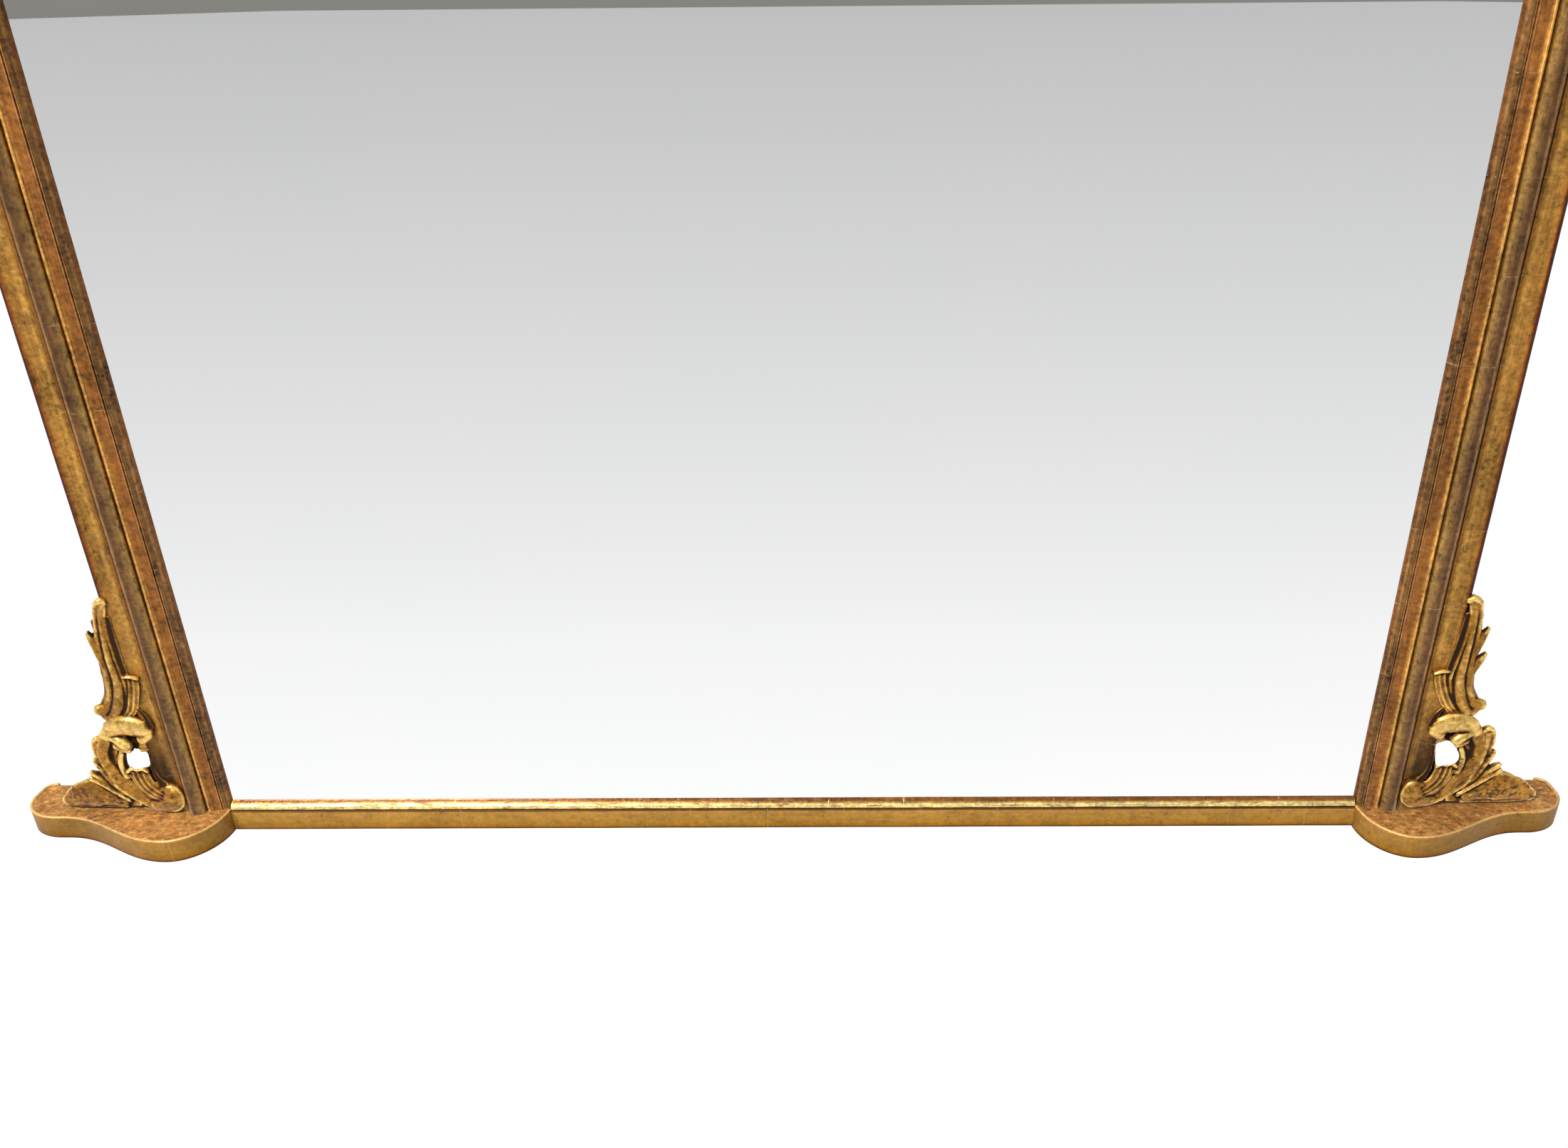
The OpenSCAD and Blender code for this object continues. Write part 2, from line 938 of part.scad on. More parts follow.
left_side() gilt_upright(GILT) inner_section();  // inner_moulding_left
gilt_upright(GILT) inner_section();  // inner_moulding_right
color(GILT) left_side() bent() inner_section();  // inner_moulding_corner_left
color(GILT) bent() inner_section();  // inner_moulding_corner_right
color(GILT) along_top() inner_section();  // inner_moulding_top

left_side() gilt_upright(BURNISHED) torus_section();  // torus_left
gilt_upright(BURNISHED) torus_section();  // torus_right
color(BURNISHED) left_side() bent() torus_section();  // torus_corner_left
color(BURNISHED) bent() torus_section();  // torus_corner_right
color(BURNISHED) along_top() torus_section();  // torus_top

left_side() gilt_upright(GILT) outer_section();  // outer_moulding_left
gilt_upright(GILT) outer_section();  // outer_moulding_right
color(GILT) left_side() bent() outer_section();  // outer_moulding_corner_left
color(GILT) bent() outer_section();  // outer_moulding_corner_right
color(GILT) along_top() outer_section();  // outer_moulding_top

bottom_rail_fascia();
left_side() foot_block();  // foot_block_left
foot_block();  // foot_block_right
left_side() foot_facing();  // foot_facing_left
foot_facing();  // foot_facing_right

left_side() bracket_frond(false);  // bracket_frond_left
bracket_frond(true);  // bracket_frond_right
left_side() bracket_scroll();  // bracket_scroll_left
bracket_scroll();  // bracket_scroll_right
left_side() bracket_leaf();  // bracket_leaf_left
bracket_leaf();  // bracket_leaf_right
crest_palmette();
crest_boss();
left_side() crest_frond();  // crest_frond_left
crest_frond();  // crest_frond_right
left_side() crest_scroll();  // crest_scroll_left
crest_scroll();  // crest_scroll_right
left_side() crest_leaf();  // crest_leaf_left
crest_leaf();  // crest_leaf_right

backboard(0);  // backboard_1
backboard(1);  // backboard_2
backboard(2);  // backboard_3
backboard(3);  // backboard_4
backboard(4);  // backboard_5
plate_blocks();
carcass_dowels();
carving_dowels();
bracket_screws();
foot_screws();
backboard_screws();
wall_plates();
wall_plate_screws();
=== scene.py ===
"""The looks of a giltwood overmantel mirror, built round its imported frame.

The classes hold their sizes in millimetres, and meshes are made in metres in the row frame:
+X is to the right, +Y towards the wall and +Z up. In sections, a is the distance outwards
from the visible glass and p the distance ahead of its face. In carvings, u is the distance
outwards from the frame's outer edge and v the height above the foot.
"""

import json
import logging
import math
from contextlib import contextmanager
from dataclasses import dataclass
from enum import Enum
from typing import Any, Callable, Iterable, Iterator, Sequence, Union

import bmesh
import bpy
import numpy as np
from mathutils import Matrix, Vector

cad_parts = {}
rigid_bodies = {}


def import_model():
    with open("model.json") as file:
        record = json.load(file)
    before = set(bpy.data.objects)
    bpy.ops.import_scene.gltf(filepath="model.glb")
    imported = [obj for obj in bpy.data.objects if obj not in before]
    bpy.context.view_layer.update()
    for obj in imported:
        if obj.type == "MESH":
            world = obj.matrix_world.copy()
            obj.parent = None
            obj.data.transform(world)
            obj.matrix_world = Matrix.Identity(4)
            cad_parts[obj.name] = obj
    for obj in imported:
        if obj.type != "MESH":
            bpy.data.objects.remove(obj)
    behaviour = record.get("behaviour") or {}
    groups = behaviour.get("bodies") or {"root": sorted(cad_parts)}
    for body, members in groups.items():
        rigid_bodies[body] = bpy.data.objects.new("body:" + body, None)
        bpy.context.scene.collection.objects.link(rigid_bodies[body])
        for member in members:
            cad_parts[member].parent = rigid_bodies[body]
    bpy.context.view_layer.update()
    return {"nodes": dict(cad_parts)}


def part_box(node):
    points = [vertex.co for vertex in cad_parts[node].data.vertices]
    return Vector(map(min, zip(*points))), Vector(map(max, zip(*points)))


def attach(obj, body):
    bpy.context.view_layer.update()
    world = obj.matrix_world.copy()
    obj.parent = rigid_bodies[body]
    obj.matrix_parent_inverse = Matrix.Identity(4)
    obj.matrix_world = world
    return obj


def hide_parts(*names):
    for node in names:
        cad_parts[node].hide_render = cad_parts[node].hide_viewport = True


LOG = logging.getLogger("mirror")
MM = 0.001
BODY = "root"
PHOTO_WIDTH = 2200
SIDES = ((1, "right"), (-1, "left"))

Piece = bpy.types.Object
Mesh = bpy.types.Mesh
Solid = bmesh.types.BMesh
Rows = np.ndarray
Colour = tuple[float, float, float, float]
Point = tuple[float, ...]
Number = Union["Wire", float, int]
Stops = Sequence[tuple[float, Union[str, Colour]]]

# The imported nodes' objects, by name
NODES: dict[str, Piece] = {}


# --- Small helpers ---

def paint(code: Any) -> Any:
    """Turn a six-digit colour code into a linear colour, and leave anything else as it is."""
    if not isinstance(code, str):
        return code
    channels = [int(code[i:i + 2], 16) / 255 for i in (0, 2, 4)]
    linear = [c / 12.92 if c <= 0.04045 else ((c + 0.055) / 1.055) ** 2.4 for c in channels]
    return (*linear, 1.0)


def smooth_path(points: Sequence[Point], step: float, closed: bool = False) -> Rows:
    """Run a smooth curve through the points and sample it at an even step.

    Args:
        points: Points of any number of coordinates, of which the first two are a place.
        step: The distance between samples.
        closed: Whether the curve returns to its first point.

    Returns:
        One row for each sample.
    """
    given = np.asarray(points, float)
    padded = (np.vstack([given[-1:], given, given[:2]]) if closed else
              np.vstack([2 * given[0] - given[1], given, 2 * given[-1] - given[-2]]))
    t = np.linspace(0, 1, 24, endpoint=False)[:, None]
    spans = [0.5 * (2 * b + (c - a) * t + (2 * a - 5 * b + 4 * c - d) * t ** 2
                    + (3 * b - a - 3 * c + d) * t ** 3)
             for a, b, c, d in zip(padded, padded[1:], padded[2:], padded[3:])]
    curve = np.vstack([*spans, padded[-2:-1]])
    run = np.concatenate([[0], np.cumsum(np.linalg.norm(np.diff(curve[:, :2], axis=0), axis=1))])
    wanted = np.linspace(0, run[-1], max(3, int(round(run[-1] / step)) + 1))
    if closed:
        wanted = wanted[:-1]
    return np.stack([np.interp(wanted, run, column) for column in curve.T], axis=1)


def arc(centre: Point, radius: float, start: float, end: float, steps: int = 10) -> list[Point]:
    """Points on an arc that is cut into steps, from one angle in degrees to another."""
    turns = [math.radians(start + (end - start) * i / steps) for i in range(steps + 1)]
    return [(centre[0] + radius * math.cos(t), centre[1] + radius * math.sin(t)) for t in turns]


def eased(outline: Sequence[Point], radius: float, longest: float) -> list[Point]:
    """Round the corners of a closed outline and cut its long edges up.

    Args:
        outline: The corners, in order.
        radius: How far the rounding starts from each corner.
        longest: The longest edge that is left.

    Returns:
        The points of the eased outline.
    """
    corners = [np.array(c, float) for c in outline]
    nearly_straight = -0.94
    rounded: list[Rows] = []
    for before, here, after in zip(corners[-1:] + corners, corners, corners[1:] + corners):
        back, ahead = before - here, after - here
        len_back, len_ahead = np.linalg.norm(back), np.linalg.norm(ahead)
        if float(np.dot(back, ahead)) / (len_back * len_ahead) < nearly_straight:
            rounded.append(here)
            continue
        reach = min(radius, 0.45 * len_back, 0.45 * len_ahead)
        first, last = here + back / len_back * reach, here + ahead / len_ahead * reach
        rounded.extend((1 - t) ** 2 * first + 2 * t * (1 - t) * here + t * t * last
                       for t in (0, 0.25, 0.5, 0.75, 1))
    cut: list[Point] = []
    for here, after in zip(rounded, rounded[1:] + rounded[:1]):
        pieces = max(1, math.ceil(np.linalg.norm(after - here) / longest))
        cut.extend(tuple(here + (after - here) * k / pieces) for k in range(pieces))
    return cut


@contextmanager
def edited(mesh: Mesh) -> Iterator[Solid]:
    """Open a mesh for editing, and write it back afterwards."""
    work = bmesh.new()
    work.from_mesh(mesh)
    yield work
    work.to_mesh(mesh)
    work.free()
    mesh.update()


def new_object(name: str, data: bpy.types.ID | None = None) -> Piece:
    """Add an object to the scene at the origin, with an empty mesh if no data is given."""
    made = bpy.data.objects.new(name, data or bpy.data.meshes.new(name))
    bpy.context.scene.collection.objects.link(made)
    return made


def curve_object(name: str, points: Iterable[Point], closed: bool) -> Piece:
    """Make a helper object that holds one poly curve.

    Args:
        name: The object's name.
        points: Two or three coordinates each, in millimetres.
        closed: Whether the curve is a loop.

    Returns:
        The object, which the caller removes after use.
    """
    data = bpy.data.curves.new(name, "CURVE")
    data.dimensions = "3D"
    placed = [(*[c * MM for c in p], 0.0)[:3] for p in points]
    spline = data.splines.new("POLY")
    spline.points.add(len(placed) - 1)
    spline.points.foreach_set("co", [c for p in placed for c in (*p, 1.0)])
    spline.use_cyclic_u = closed
    return new_object(name, data)


def drop(*things: Piece) -> None:
    """Remove helper objects and their data."""
    for thing in things:
        bpy.data.batch_remove((thing, thing.data))


def modified(piece: Piece, kind: str, **settings: Any) -> None:
    """Add one modifier, and keep its result as the object's plain mesh.

    Args:
        piece: The object.
        kind: The modifier's type.
        **settings: Its settings.
    """
    modifier = piece.modifiers.new(kind.lower(), kind)
    for name, value in settings.items():
        setattr(modifier, name, value)
    apply_modifiers(piece)


def apply_modifiers(piece: Piece) -> None:
    """Swap an object's mesh for the plain one that its modifiers make, and remove them."""
    graph = bpy.context.evaluated_depsgraph_get()
    piece.data = bpy.data.meshes.new_from_object(piece.evaluated_get(graph), depsgraph=graph)
    piece.modifiers.clear()


def cut_away(piece: Piece, cutter: Piece) -> None:
    """Cut a helper object's closed shape out of a piece, and remove the helper."""
    modified(piece, "BOOLEAN", operation="DIFFERENCE", solver="MANIFOLD", object=cutter)
    drop(cutter)


def turn_outwards(mesh: Mesh, reach: float) -> None:
    """Join the points of a mesh that are within reach metres, and turn its faces outwards."""
    with edited(mesh) as work:
        bmesh.ops.remove_doubles(work, verts=work.verts, dist=reach)
        bmesh.ops.recalc_face_normals(work, faces=work.faces)


def merged_copy(node: str, name: str) -> Piece:
    """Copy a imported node's mesh into a new object, with its loose triangles joined."""
    copy = new_object(name, NODES[node].data.copy())
    turn_outwards(copy.data, 1e-6)
    return copy


def lathe(work: Solid, profile: Sequence[Point], sides: int,
          place: Callable[[float, float, float], Point]) -> None:
    """Add a solid of revolution to a mesh.

    Args:
        work: The mesh.
        profile: Its (radius, height) from one end of its axis to the other.
        sides: How many sides it has.
        place: Takes a point across the axis and a height, in millimetres, to the row frame.
    """
    rings = []
    for r, height in profile:
        turns = [2 * math.pi * k / sides for k in range(sides if r > 1e-6 else 1)]
        rings.append([work.verts.new(tuple(c * MM for c in place(
            r * math.cos(t), r * math.sin(t), height))) for t in turns])
    for upper, lower in zip(rings, rings[1:]):
        for i in range(sides):
            j = (i + 1) % sides
            corners = [upper[i % len(upper)], lower[i % len(lower)],
                       lower[j % len(lower)], upper[j % len(upper)]]
            work.faces.new(list(dict.fromkeys(corners)))
    bmesh.ops.recalc_face_normals(work, faces=work.faces)


def prism(work: Solid, near: Iterable[Point], far: Iterable[Point]) -> None:
    """Add a closed prism between two outlines of as many points, in millimetres."""
    first, last = ([work.verts.new(tuple(c * MM for c in p)) for p in end] for end in (near, far))
    for i in range(len(first)):
        j = (i + 1) % len(first)
        work.faces.new((first[i], first[j], last[j], last[i]))
    work.faces.new(first[::-1])
    work.faces.new(last)
    bmesh.ops.recalc_face_normals(work, faces=work.faces)


def box_mm(node: str) -> tuple[Vector, Vector]:
    """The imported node's lowest and highest corners, in millimetres."""
    low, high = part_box(node)
    return low / MM, high / MM


# --- Node graphs ---

def operator(operation: str, reflected: bool = False) -> Callable[["Wire", Number], "Wire"]:
    """Make a Wire's method for one of Python's operators.

    Args:
        operation: The Math node's operation.
        reflected: Whether the wire is the second operand.

    Returns:
        The method.
    """
    def method(wire: "Wire", other: Number) -> "Wire":
        """Add the operator's Math node."""
        return wire.graph.math(operation, *((other, wire) if reflected else (wire, other)))
    return method


class Wire:
    """A node's output, on which Python's arithmetic adds Math nodes."""

    def __init__(self, graph: "Graph", socket: bpy.types.NodeSocket) -> None:
        """Keep the graph and the socket."""
        self.graph = graph
        self.socket = socket

    __add__ = operator("ADD")
    __radd__ = operator("ADD", True)
    __sub__ = operator("SUBTRACT")
    __rsub__ = operator("SUBTRACT", True)
    __mul__ = operator("MULTIPLY")
    __rmul__ = operator("MULTIPLY", True)
    __truediv__ = operator("DIVIDE")
    __rtruediv__ = operator("DIVIDE", True)


class Graph:
    """Adds nodes to one shader or geometry tree."""

    def __init__(self, tree: bpy.types.NodeTree) -> None:
        """Empty the tree and keep it."""
        tree.nodes.clear()
        self.tree = tree

    def node(self, kind: str, settings: dict[str, Any] | None = None,
             inputs: dict[Any, Any] | None = None, output: Any = 0) -> "Wire | None":
        """Add any node.

        Args:
            kind: The node's type.
            settings: Its properties, set first. "stops" are a ramp's (place, colour) pairs.
            inputs: Values or wires for its sockets, by name or number.
            output: The name or number of the output that is returned.

        Returns:
            The wire from that output, or None from a node that has none.
        """
        made = self.tree.nodes.new(kind)
        for name, value in (settings or {}).items():
            if name != "stops":
                setattr(made, name, value)
                continue
            elements = made.color_ramp.elements
            while len(elements) < len(value):
                elements.new(1.0)
            for element, (place, colour) in zip(elements, value):
                element.position = place
                element.color = paint(colour)
        for name, value in (inputs or {}).items():
            if isinstance(value, Wire):
                self.tree.links.new(value.socket, made.inputs[name])
            else:
                made.inputs[name].default_value = value
        return Wire(self, made.outputs[output]) if len(made.outputs) else None

    def math(self, operation: str, *values: Number) -> Wire:
        """Add a Math node on up to three values."""
        return self.node("ShaderNodeMath", {"operation": operation}, dict(enumerate(values)))

    def vector(self, operation: str, *values: Any) -> Wire:
        """Add a Vector Math node on up to three vectors."""
        return self.node("ShaderNodeVectorMath", {"operation": operation}, dict(enumerate(values)))

    def joined(self, x: Number, y: Number, z: Number) -> Wire:
        """Join three numbers into a vector."""
        return self.node("ShaderNodeCombineXYZ", None, {0: x, 1: y, 2: z})

    def parts(self, vector: Wire) -> tuple[Wire, Wire, Wire]:
        """Part a vector into its three numbers."""
        outputs = self.node("ShaderNodeSeparateXYZ", None, {0: vector}).socket.node.outputs
        return tuple(Wire(self, socket) for socket in outputs)

    def place(self, kind: str = "Object") -> Wire:
        """The place on the piece, or another of Texture Coordinate's outputs."""
        return self.node("ShaderNodeTexCoord", output=kind)

    def mapped(self) -> tuple[Wire, Wire]:
        """The two numbers of the piece's own map."""
        return self.parts(self.node("ShaderNodeUVMap", {"uv_map": "UVMap"}))[:2]

    def ramp(self, share: Wire, stops: Stops) -> Wire:
        """A colour ramp through (place, colour) stops."""
        return self.node("ShaderNodeValToRGB", {"stops": stops}, {0: share})

    def step(self, value: Wire, low: float, high: float) -> Wire:
        """A smooth step from 0 at low to 1 at high, or the other way round if low is higher."""
        return self.node("ShaderNodeMapRange", {"interpolation_type": "SMOOTHSTEP"},
                         {0: value, 1: low, 2: high})

    def noise(self, place: Wire, scale: float | Point, detail: float = 3.0,
              rough: float = 0.5) -> Wire:
        """Noise from 0 to 1.

        Args:
            place: Where it is read, in metres.
            scale: How many swells it has in a metre, or how many along each axis.
            detail: How many finer layers it has.
            rough: How strong those layers are.

        Returns:
            The noise's value.
        """
        if isinstance(scale, tuple):
            place, scale = self.vector("MULTIPLY", place, scale), 1.0
        return self.node("ShaderNodeTexNoise", None, {
            "Vector": place, "Scale": scale, "Detail": detail, "Roughness": rough})

    def mix(self, share: Number, first: Any, second: Any, blend: str = "MIX") -> Wire:
        """Mix two colours, wires or codes, by a share."""
        return self.node("ShaderNodeMix", {"data_type": "RGBA", "blend_type": blend,
                                           "clamp_factor": True},
                         {0: share, 6: paint(first), 7: paint(second)}, 2)

    def multiplied(self, colour: Wire, red: Wire, green: Wire, blue: Wire) -> Wire:
        """Multiply a colour's channels."""
        return self.mix(1.0, colour, self.joined(red, green, blue), "MULTIPLY")


# --- Finishes ---

class Finish:
    """A material that is made once, when it is first asked for."""

    _made: dict[str, bpy.types.Material] = {}
    name: str

    def material(self) -> bpy.types.Material:
        """The finish's material."""
        if self.name not in Finish._made:
            made = bpy.data.materials.new(self.name)
            made.use_nodes = True
            graph = Graph(made.node_tree)
            graph.node("ShaderNodeOutputMaterial", None, {"Surface": self.surface(graph)})
            Finish._made[self.name] = made
        return Finish._made[self.name]

    def surface(self, graph: Graph) -> Wire:
        """The shader that covers the surface."""
        raise NotImplementedError

    @staticmethod
    def principled(graph: Graph, relief: tuple[Wire, float] | None = None, **sockets: Any) -> Wire:
        """A Principled shader.

        Args:
            graph: The material's graph.
            relief: A height from 0 to 1, and how many metres deep it really is.
            **sockets: Its sockets, named by words joined with underscores.

        Returns:
            The shader.
        """
        if relief:
            sockets["Normal"] = graph.node("ShaderNodeBump", None, {
                "Height": relief[0], "Distance": relief[1], "Strength": 1.0})
        return graph.node("ShaderNodeBsdfPrincipled", None,
                          {name.replace("_", " "): value for name, value in sockets.items()})

    @staticmethod
    def leaves(graph: Graph, along: Wire, pitch: float) -> tuple[Wire, Wire]:
        """Part a length into squares of leaf.

        Args:
            graph: The material's graph.
            along: How far along the piece it is, in metres.
            pitch: The squares' length, in millimetres.

        Returns:
            A random number for each square, and how far its nearest edge is, in squares.
        """
        squares = along / (pitch * MM)
        own = graph.node("ShaderNodeTexWhiteNoise", {"noise_dimensions": "1D"},
                         {"W": graph.math("FLOOR", squares)})
        within = graph.math("FRACT", squares)
        return own, graph.math("MINIMUM", within, 1 - within)

    @staticmethod
    def weathered(graph: Graph, colour: Wire, body: Wire, streak: Wire,
                  swing: float, grime: float) -> tuple[Wire, Wire, Wire]:
        """Break a gilded colour up with clouds, blotches and streaks, and fleck it with grime.

        Args:
            graph: The material's graph.
            colour: The clean colour.
            body: The place, in metres.
            streak: Noise that is stretched the way the surface was rubbed.
            swing: How far the tones swing.
            grime: How strongly the dark flecks show.

        Returns:
            The colour, the share of grime and the grain of the gesso.
        """
        cloud = graph.noise(body, 11.0, 3.0, 0.55)
        blotch = graph.noise(body, 75.0, 4.0, 0.62)
        mottle = graph.noise(body, 250.0, 2.0, 0.6)
        fine = graph.noise(body, 700.0, 2.0, 0.7)
        shade = (1 + ((cloud - 0.5) * 0.9 + (blotch - 0.5) * 1.1 + (streak - 0.5) * 1.1
                      + (mottle - 0.5) * 1.3) * swing + (fine - 0.5) * 0.5)
        toned = graph.multiplied(colour, shade, shade, shade * (1.15 - blotch * 0.3))
        fleck = graph.step(blotch * 0.4 + streak * 0.6, 0.585, 0.70) * grime
        return graph.mix(fleck, toned, "2b170a"), fleck, mottle * 0.6 + fine * 0.4


@dataclass(frozen=True)
class LeafGilding(Finish):
    """Gold leaf laid in squares along a moulding, toned and rubbed.

    It reads the moulding's own map: x is the distance along it, and y across it, in metres.
    """

    name: str
    # (a in mm, colour code) from the glass outwards; dark quirks and edges in it are painted shade, and
    # pale crests painted highlights
    across: Stops
    rubbed: str = "5a3a1c"
    rubbed_share: float = 0.2
    rubbed_grain: Point = (60.0, 500.0)
    swing: float = 1.0
    grime: float = 0.5
    lap: str = "dcc07c"
    lap_share: float = 0.3
    lap_pitch: float = 80.0
    lap_width: float = 0.9
    metallic: float = 0.7
    roughness: float = 0.42
    # The wash on its sides, and where in y it starts and is full
    flank: str = "7d4d1f"
    flank_y: Point = (5.0, 9.0)
    # How strong the brackets' painted shadow is on the band, between which distances out,
    # and the heights at which it is full and gone
    bracket_shadow: str = "2c1604"
    bracket_shadow_share: float = 0.0
    bracket_shadow_out: Point = (42.0, 54.0)
    bracket_shadow_z: Point = (78.0, 150.0)

    def surface(self, graph: Graph) -> Wire:
        """Gradient across with painted shade and highlights in it, the brackets' painted shadow,
        squares of leaf with laps, rubbed patches, streaks and grime.
        """
        along, out = graph.mapped()
        body = graph.place()
        _, y, z = graph.parts(body)
        low, high = self.across[0][0] * MM, self.across[-1][0] * MM
        wander = graph.noise(body, 45.0) - 0.5
        share = graph.node("ShaderNodeMapRange", None, {0: out + wander * (1.1 * MM), 1: low, 2: high})
        faced = graph.ramp(share, [((a * MM - low) / (high - low), c) for a, c in self.across])
        base = graph.mix(graph.step(y, *(d * MM for d in self.flank_y)), faced, self.flank)
        # Painted shadow of the brackets, low on the band beside them
        if self.bracket_shadow_share > 0:
            full, clear = (h * MM for h in self.bracket_shadow_z)
            near = graph.step(out + wander * (14 * MM), *(a * MM for a in self.bracket_shadow_out))
            painted_shade = graph.step(z + wander * (60 * MM), clear, full) * near * self.bracket_shadow_share
            base = graph.mix(painted_shade, base, self.bracket_shadow)
        tone, edge = self.leaves(graph, along + wander * (5 * MM), self.lap_pitch)
        edge = edge * (self.lap_pitch * MM)
        lap = (graph.step(edge, self.lap_width * MM, 0.2 * self.lap_width * MM)
               * graph.step(graph.noise(body, 190.0, 2.0), 0.42, 0.6)
               * graph.step(tone, 0.25, 0.7) * self.lap_share)
        streak = graph.noise(graph.joined(along * 16.0, out * 330.0, 0.0), 1.0, 5.0, 0.62)
        rubs = graph.joined(along * self.rubbed_grain[0], out * self.rubbed_grain[1], 0.0)
        patch = graph.noise(rubs, 1.0, 6.0, 0.68)
        worn_at = 0.72 - 0.42 * self.rubbed_share
        worn = graph.step(patch * 0.7 + streak * 0.3, worn_at - 0.06, worn_at + 0.05)
        squared = 1 + (tone - 0.5) * 0.14
        leaf = graph.multiplied(base, squared, squared, squared)
        rubbed = graph.mix(worn * 0.85, leaf, self.rubbed)
        aged, fleck, grain = self.weathered(graph, rubbed, body, streak, self.swing, self.grime)
        return self.principled(
            graph, (patch * 0.3 + streak * 0.25 + grain * 0.45 + lap * 0.3, 0.0005),
            Base_Color=graph.mix(lap, aged, self.lap),
            Metallic=self.metallic * (1 - worn * 0.6) * (1 - fleck),
            Roughness=self.roughness + worn * 0.2 + fleck * 0.2 + (grain - 0.5) * 0.3)


@dataclass(frozen=True)
class MattGilding(Finish):
    """Matt gilding on an upright face, deeper in colour towards its foot."""

    name: str
    height: float
    # (share of the height, colour code) from the bottom up
    rising: Stops = ((0.0, "885408"), (0.16, "a06c1c"), (0.4, "a27832"), (0.86, "ac7f3c"),
                     (0.97, "b98a48"))
    # The upper arris's colour, by default a painted highlight
    arris: str = "e2b878"
    heel: str = "4c2a04"
    # Where in x painted shade starts to darken the gilding, and where it is full
    painted_shade_x: Point = (690.0, 765.0)
    lap_pitch: float = 82.0

    def surface(self, graph: Graph) -> Wire:
        """Bands of colour by height, painted shade out at the ends, leaf laps, rubs, streaks and
        painted light along the upper arris.
        """
        body = graph.place()
        along, out = graph.mapped()
        x, _, z = graph.parts(body)
        wander = graph.noise(body, 14.0, 3.0, 0.55) - 0.5
        patch = graph.noise(body, 140.0, 5.0, 0.68)
        streak = graph.noise(graph.joined(along * 20.0, z * 160.0, out * 160.0), 1.0, 5.0, 0.62)
        top, under = self.height * MM, 3.2 * MM
        faced = graph.ramp((z + wander * 0.007) / top, self.rising)
        shaken = z + wander * 0.001
        heeled = graph.mix(graph.step(shaken, under, 0.3 * under) * 0.8, faced, self.heel)
        # Painted shade: darker out at the ends, which turn away from the light
        aside = graph.step(graph.math("ABSOLUTE", x), *(at * MM for at in self.painted_shade_x))
        painted_shade = graph.mix(aside * 0.24, heeled, self.heel)
        # The upper arris: painted light, a highlight by default and on the rail the slip's shadow
        base = graph.mix(graph.step(shaken, top - 1.9 * MM, top - 0.9 * MM) * 0.85, painted_shade, self.arris)
        tone, edge = self.leaves(graph, along + wander * 0.006, self.lap_pitch)
        lap = (graph.step(edge, 0.012, 0.002) * graph.step(tone, 0.3, 0.7)
               * graph.step(patch, 0.4, 0.55))
        rubbed = graph.mix(graph.step(patch, 0.58, 0.70) * 0.6, base, "7c4818")
        aged, fleck, grain = self.weathered(graph, rubbed, body, streak, 0.6, 0.3)
        return self.principled(
            graph, (patch * 0.3 + streak * 0.3 + grain * 0.4, 0.0006),
            Base_Color=graph.mix(lap * 0.3, aged, "dcb870"), Metallic=0.4 * (1 - fleck),
            Specular_IOR_Level=0.2, Roughness=0.5 + (grain - 0.5) * 0.3)


